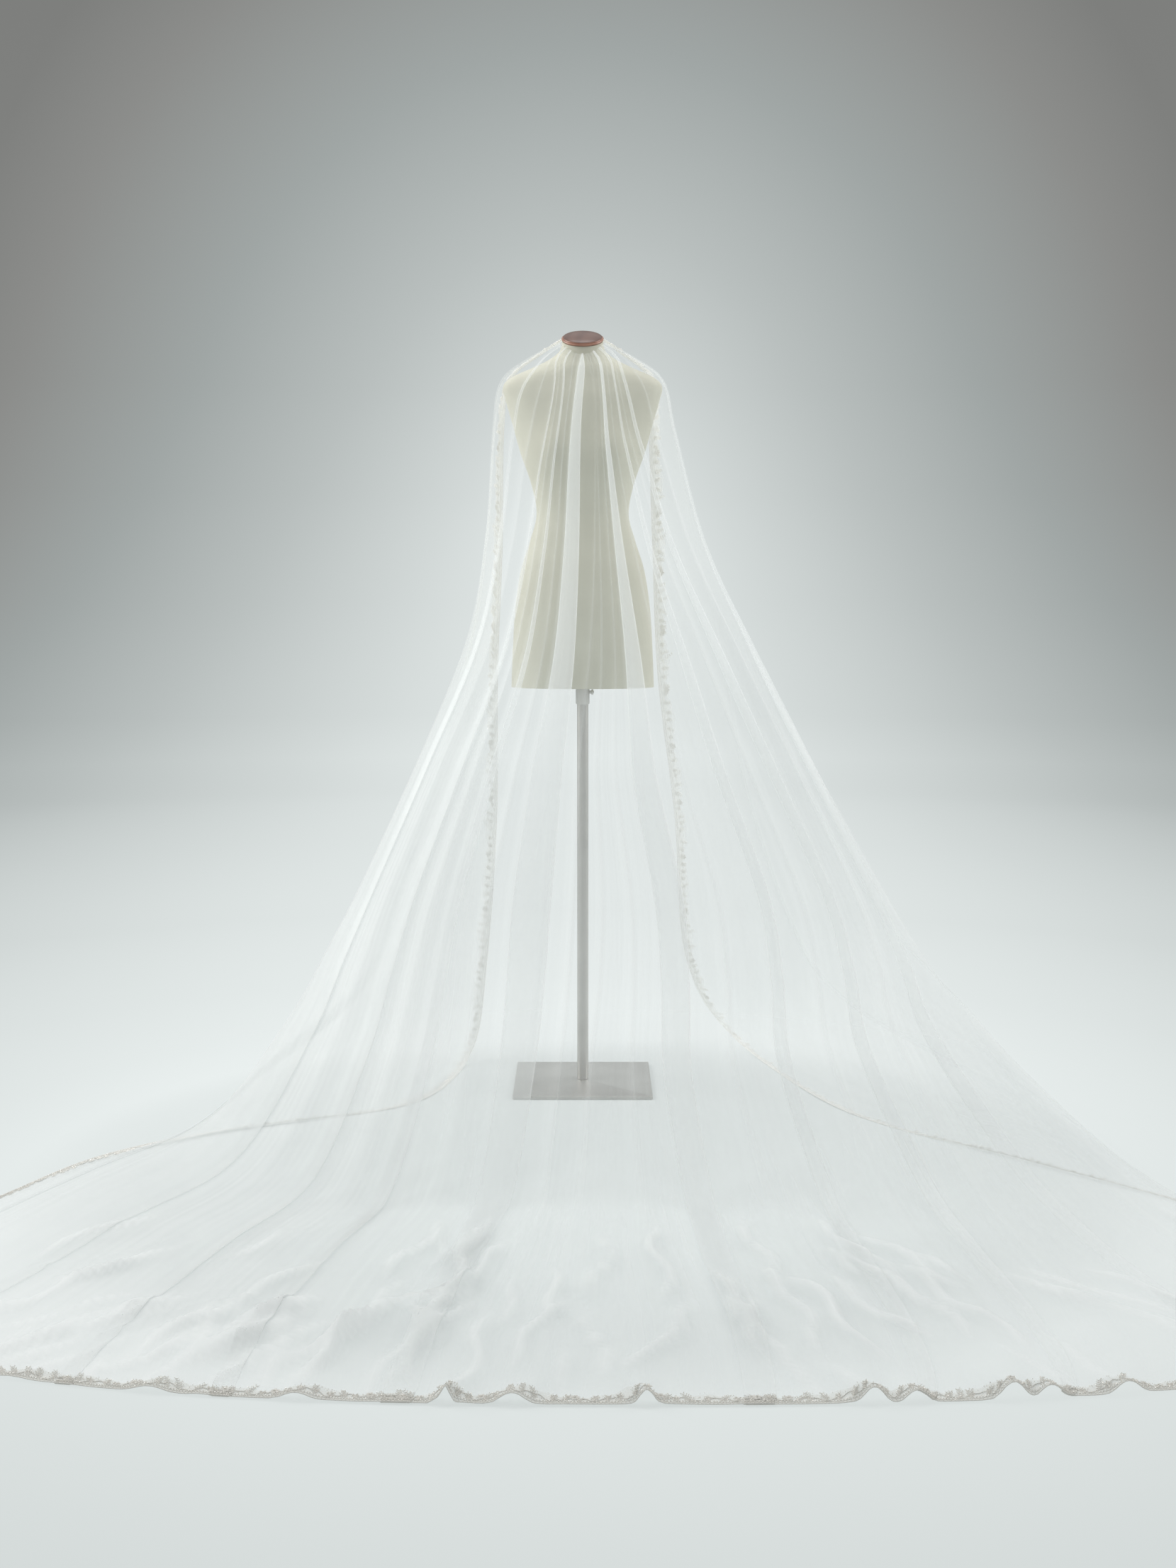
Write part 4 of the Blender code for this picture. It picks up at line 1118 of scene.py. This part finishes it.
def build_stand():
    """Pole, collar, screw and plate with rounded edges and brushed steel."""
    upright, flat = steel_finish("steel_pole", (900, 900, 5)), steel_finish("steel_plate", (6, 900, 900))
    bottom, top = PLATE_THICKNESS + SEAT_GAP, TORSO_BOTTOM - SEAT_GAP
    pole = [(0, top), (POLE_RADIUS, top), (POLE_RADIUS, bottom + 0.0008)]
    pole += [(POLE_RADIUS - 0.0008, bottom), (0, bottom)]
    carried(turned("stand_pole", pole, 64, upright), "steel", "pole")
    inner = POLE_RADIUS + SEAT_GAP
    outer = inner + COLLAR_WALL
    low = top - COLLAR_HEIGHT
    collar = [(inner, top), (outer + 0.0006, top), (outer + 0.0006, top - 0.004), (outer, top - 0.0046)]
    collar += [(outer, low + 0.0016), (outer - 0.0012, low), (inner, low), (inner, top)]
    carried(turned("stand_collar", collar, 64, upright), "steel", "collar")
    screw = [(0, 0.0100), (0.0030, 0.0100), (0.0030, 0.0086), (0.0058, 0.0086), (0.0065, 0.0080)]
    screw += [(0.0065, 0.0046), (0.0059, 0.0040), (0.0040, 0.0040), (0.0040, 0.0), (0, 0.0)]
    piece = turned("stand_screw", screw, 32, upright)
    place = (outer + SEAT_GAP, 0, top - COLLAR_HEIGHT * 0.3)
    piece.data.transform(Matrix.Translation(place) @ Matrix.Rotation(pi / 2, 4, "Y"))
    carried(piece, "steel", "collar_screw")
    made = bmesh.new()
    bmesh.ops.create_cube(made, size=1.0)
    bmesh.ops.scale(made, vec=(PLATE_SIDE, PLATE_SIDE, PLATE_THICKNESS), verts=made.verts)
    bmesh.ops.translate(made, vec=(0, 0, PLATE_THICKNESS / 2), verts=made.verts)
    corners = [e for e in made.edges if abs(e.verts[0].co.z - e.verts[1].co.z) > 0.001]
    bmesh.ops.bevel(made, geom=corners, offset=0.004, segments=4, affect="EDGES", profile=0.5)
    rims = [e for e in made.edges if abs(e.verts[0].co.z - e.verts[1].co.z) < 1e-6 and len(e.link_faces) == 2]
    rims = [e for e in rims if e.calc_face_angle(0) > 0.5]
    bmesh.ops.bevel(made, geom=rims, offset=0.0012, segments=3, affect="EDGES", profile=0.5)
    carried(settled("stand_plate", made, 40, flat), "steel", "base_plate")


def srgb(value):
    """A 0 to 255 display value as scene light."""
    share = value / 255
    return share / 12.92 if share <= 0.04045 else ((share + 0.055) / 1.055) ** 2.4


def stage_finish():
    """The studio sweep: lit floor near the object; further off it glows with painted light, a bright painted
    halo and painted shade darkening towards the corners.
    """
    made = Finish("studio_sweep", (0.745, 0.785, 0.785), 0.9, Specular_IOR_Level=0.1)
    x, y, z = made.parts(made.coordinates.outputs["Object"])
    away = made.node("ShaderNodeVectorMath")
    away.operation = "LENGTH"
    flat = made.node("ShaderNodeCombineXYZ", X=x, Y=made.math("ADD", y, 0.7))
    made.give(away.inputs[0], flat.outputs[0])
    radius = made.math("DIVIDE", away.outputs["Value"], 10.0)
    # Painted shade: the wall's and floor's emitted tones darken upwards and outwards.
    wall = made.ramp(made.math("DIVIDE", z, 6.0), *[(at, (tone / 255,) * 3) for at, tone in WALL_PAINTED_LIGHT])
    ground = made.ramp(radius, *[(at, (tone / 255,) * 3) for at, tone in FLOOR_PAINTED_LIGHT])
    # Painted light: a bright halo on the wall behind the form, added to the tone
    aside = made.math("DIVIDE", x, 4.04)
    above = made.math("DIVIDE", made.math("SUBTRACT", z, PAINTED_HALO_HEIGHT), 4.93)
    reach = made.math("MAXIMUM", made.math("MULTIPLY", made.math("SUBTRACT", 8.3, y), 0.035), 0.0)
    below = made.math("ADD", made.math("DIVIDE", made.math("SUBTRACT", PAINTED_HALO_HEIGHT, z), 4.04), reach)
    rise = made.math("MAXIMUM", above, below)
    square = made.math("ADD", made.math("MULTIPLY", aside, aside), made.math("MULTIPLY", rise, rise))
    painted_halo = made.math("MAXIMUM", made.math("SUBTRACT", 1.0, made.math("POWER", square, 0.5)), 0.0)
    painted_halo = made.math("MULTIPLY", painted_halo, made.ranged(y, -3.0, 3.0, kind="SMOOTHSTEP"))
    tone = made.math("MULTIPLY_ADD", painted_halo, PAINTED_HALO_GAIN, made.math("MINIMUM", wall, ground))
    stops = []
    for t in TONE_STOPS:
        light = t > 150
        stops.append((t / 255, (srgb(t - 5 * light), srgb(t + 1), srgb(t - 1 + light))))
    # Painted light: the tone is emitted, so beyond about 1.5 m from the middle the floor and wall glow and
    # show no cast shadows.
    painted_glow = made.node("ShaderNodeEmission", Color=made.ramp(tone, *stops))
    mix = made.tree.nodes.new("ShaderNodeMixShader")
    sources = made.ranged(radius, 0.05, 0.15, kind="SMOOTHSTEP"), made.shader.outputs[0], painted_glow.outputs[0]
    for socket, source in zip(mix.inputs, sources):
        made.give(socket, source)
    made.give(made.tree.nodes["Material Output"].inputs["Surface"], mix.outputs[0])
    return made.material


def build_stage():
    """A round sweep of floor and wall that surrounds the object and the camera."""
    profile = [(0.01, 0.0)]
    profile += [(r, 0.0) for r in (0.5, 1, 1.5, 2, 2.5, 3, 3.5, 4, 4.5, 5, 6, 7, BOWL_RADIUS - BOWL_CURVE)]
    for step in range(1, 25):
        turn = pi / 2 * step / 24
        profile.append((BOWL_RADIUS - BOWL_CURVE + BOWL_CURVE * sin(turn), BOWL_CURVE * (1 - cos(turn))))
    profile += [(BOWL_RADIUS, BOWL_CURVE + (BOWL_HEIGHT - BOWL_CURVE) * k / 10) for k in range(1, 11)]
    turns = [2 * pi * number / BOWL_SIDES for number in range(BOWL_SIDES)]
    x, y = BOWL_CENTRE
    points = [(x + r * cos(t), y + r * sin(t), height) for r, height in profile for t in turns]
    faces = []
    for low in range(0, (len(profile) - 1) * BOWL_SIDES, BOWL_SIDES):
        for number in range(BOWL_SIDES):
            after = (number + 1) % BOWL_SIDES
            faces.append((low + after, low + number, low + BOWL_SIDES + number, low + BOWL_SIDES + after))
    faces.append(tuple(range(BOWL_SIDES)))
    mesh_piece("studio_sweep", np.array(points), faces, stage_finish())


def build_light():
    """Soft white light all round, from both sides and from above, a little stronger from the left."""
    world = bpy.data.worlds.new("studio")
    bpy.context.scene.world = world
    world.use_nodes = True
    background = world.node_tree.nodes["Background"]
    background.inputs["Color"].default_value = (0.96, 0.99, 1.0, 1.0)
    background.inputs["Strength"].default_value = 0.56
    for name, place, aim, size, power in (
        ("left", (-3.6, 0.2, 2.6), (0, -0.3, 1.0), 3.2, 112),
        ("right", (3.6, 0.4, 2.6), (0, -0.2, 1.0), 3.2, 76),
        ("top", (0.0, -0.6, 5.2), (0, -0.9, 0.0), 3.4, 62),
    ):
        lamp = bpy.data.lights.new(name, "AREA")
        lamp.shape = "DISK"
        lamp.size = size
        lamp.energy = power
        lamp.color = (1.0, 0.99, 0.975)
        holder = bpy.data.objects.new(name, lamp)
        holder.location = place
        holder.visible_camera = False
        holder.rotation_euler = (Vector(aim) - Vector(place)).to_track_quat("-Z", "Y").to_euler()
        bpy.context.collection.objects.link(holder)


def build_camera():
    """The photograph's viewpoint."""
    data = bpy.data.cameras.new("camera")
    data.sensor_width = SENSOR
    data.sensor_fit = "AUTO"
    data.lens = SENSOR * FOCAL_PIXELS / PHOTO_HEIGHT
    camera = bpy.data.objects.new("camera", data)
    camera.location = CAMERA_PLACE
    camera.rotation_euler = (radians(90 - CAMERA_PITCH), 0, 0)
    bpy.context.collection.objects.link(camera)
    bpy.context.scene.camera = camera


build_camera()
cloth = Cloth()
tulle = build_tulle(cloth)
lace = build_lace(cloth)
torso = build_torso()
build_cap()
build_stand()
build_stage()
build_light()
bpy.context.scene.view_settings.view_transform = "Standard"
bpy.context.scene.view_settings.look = "None"
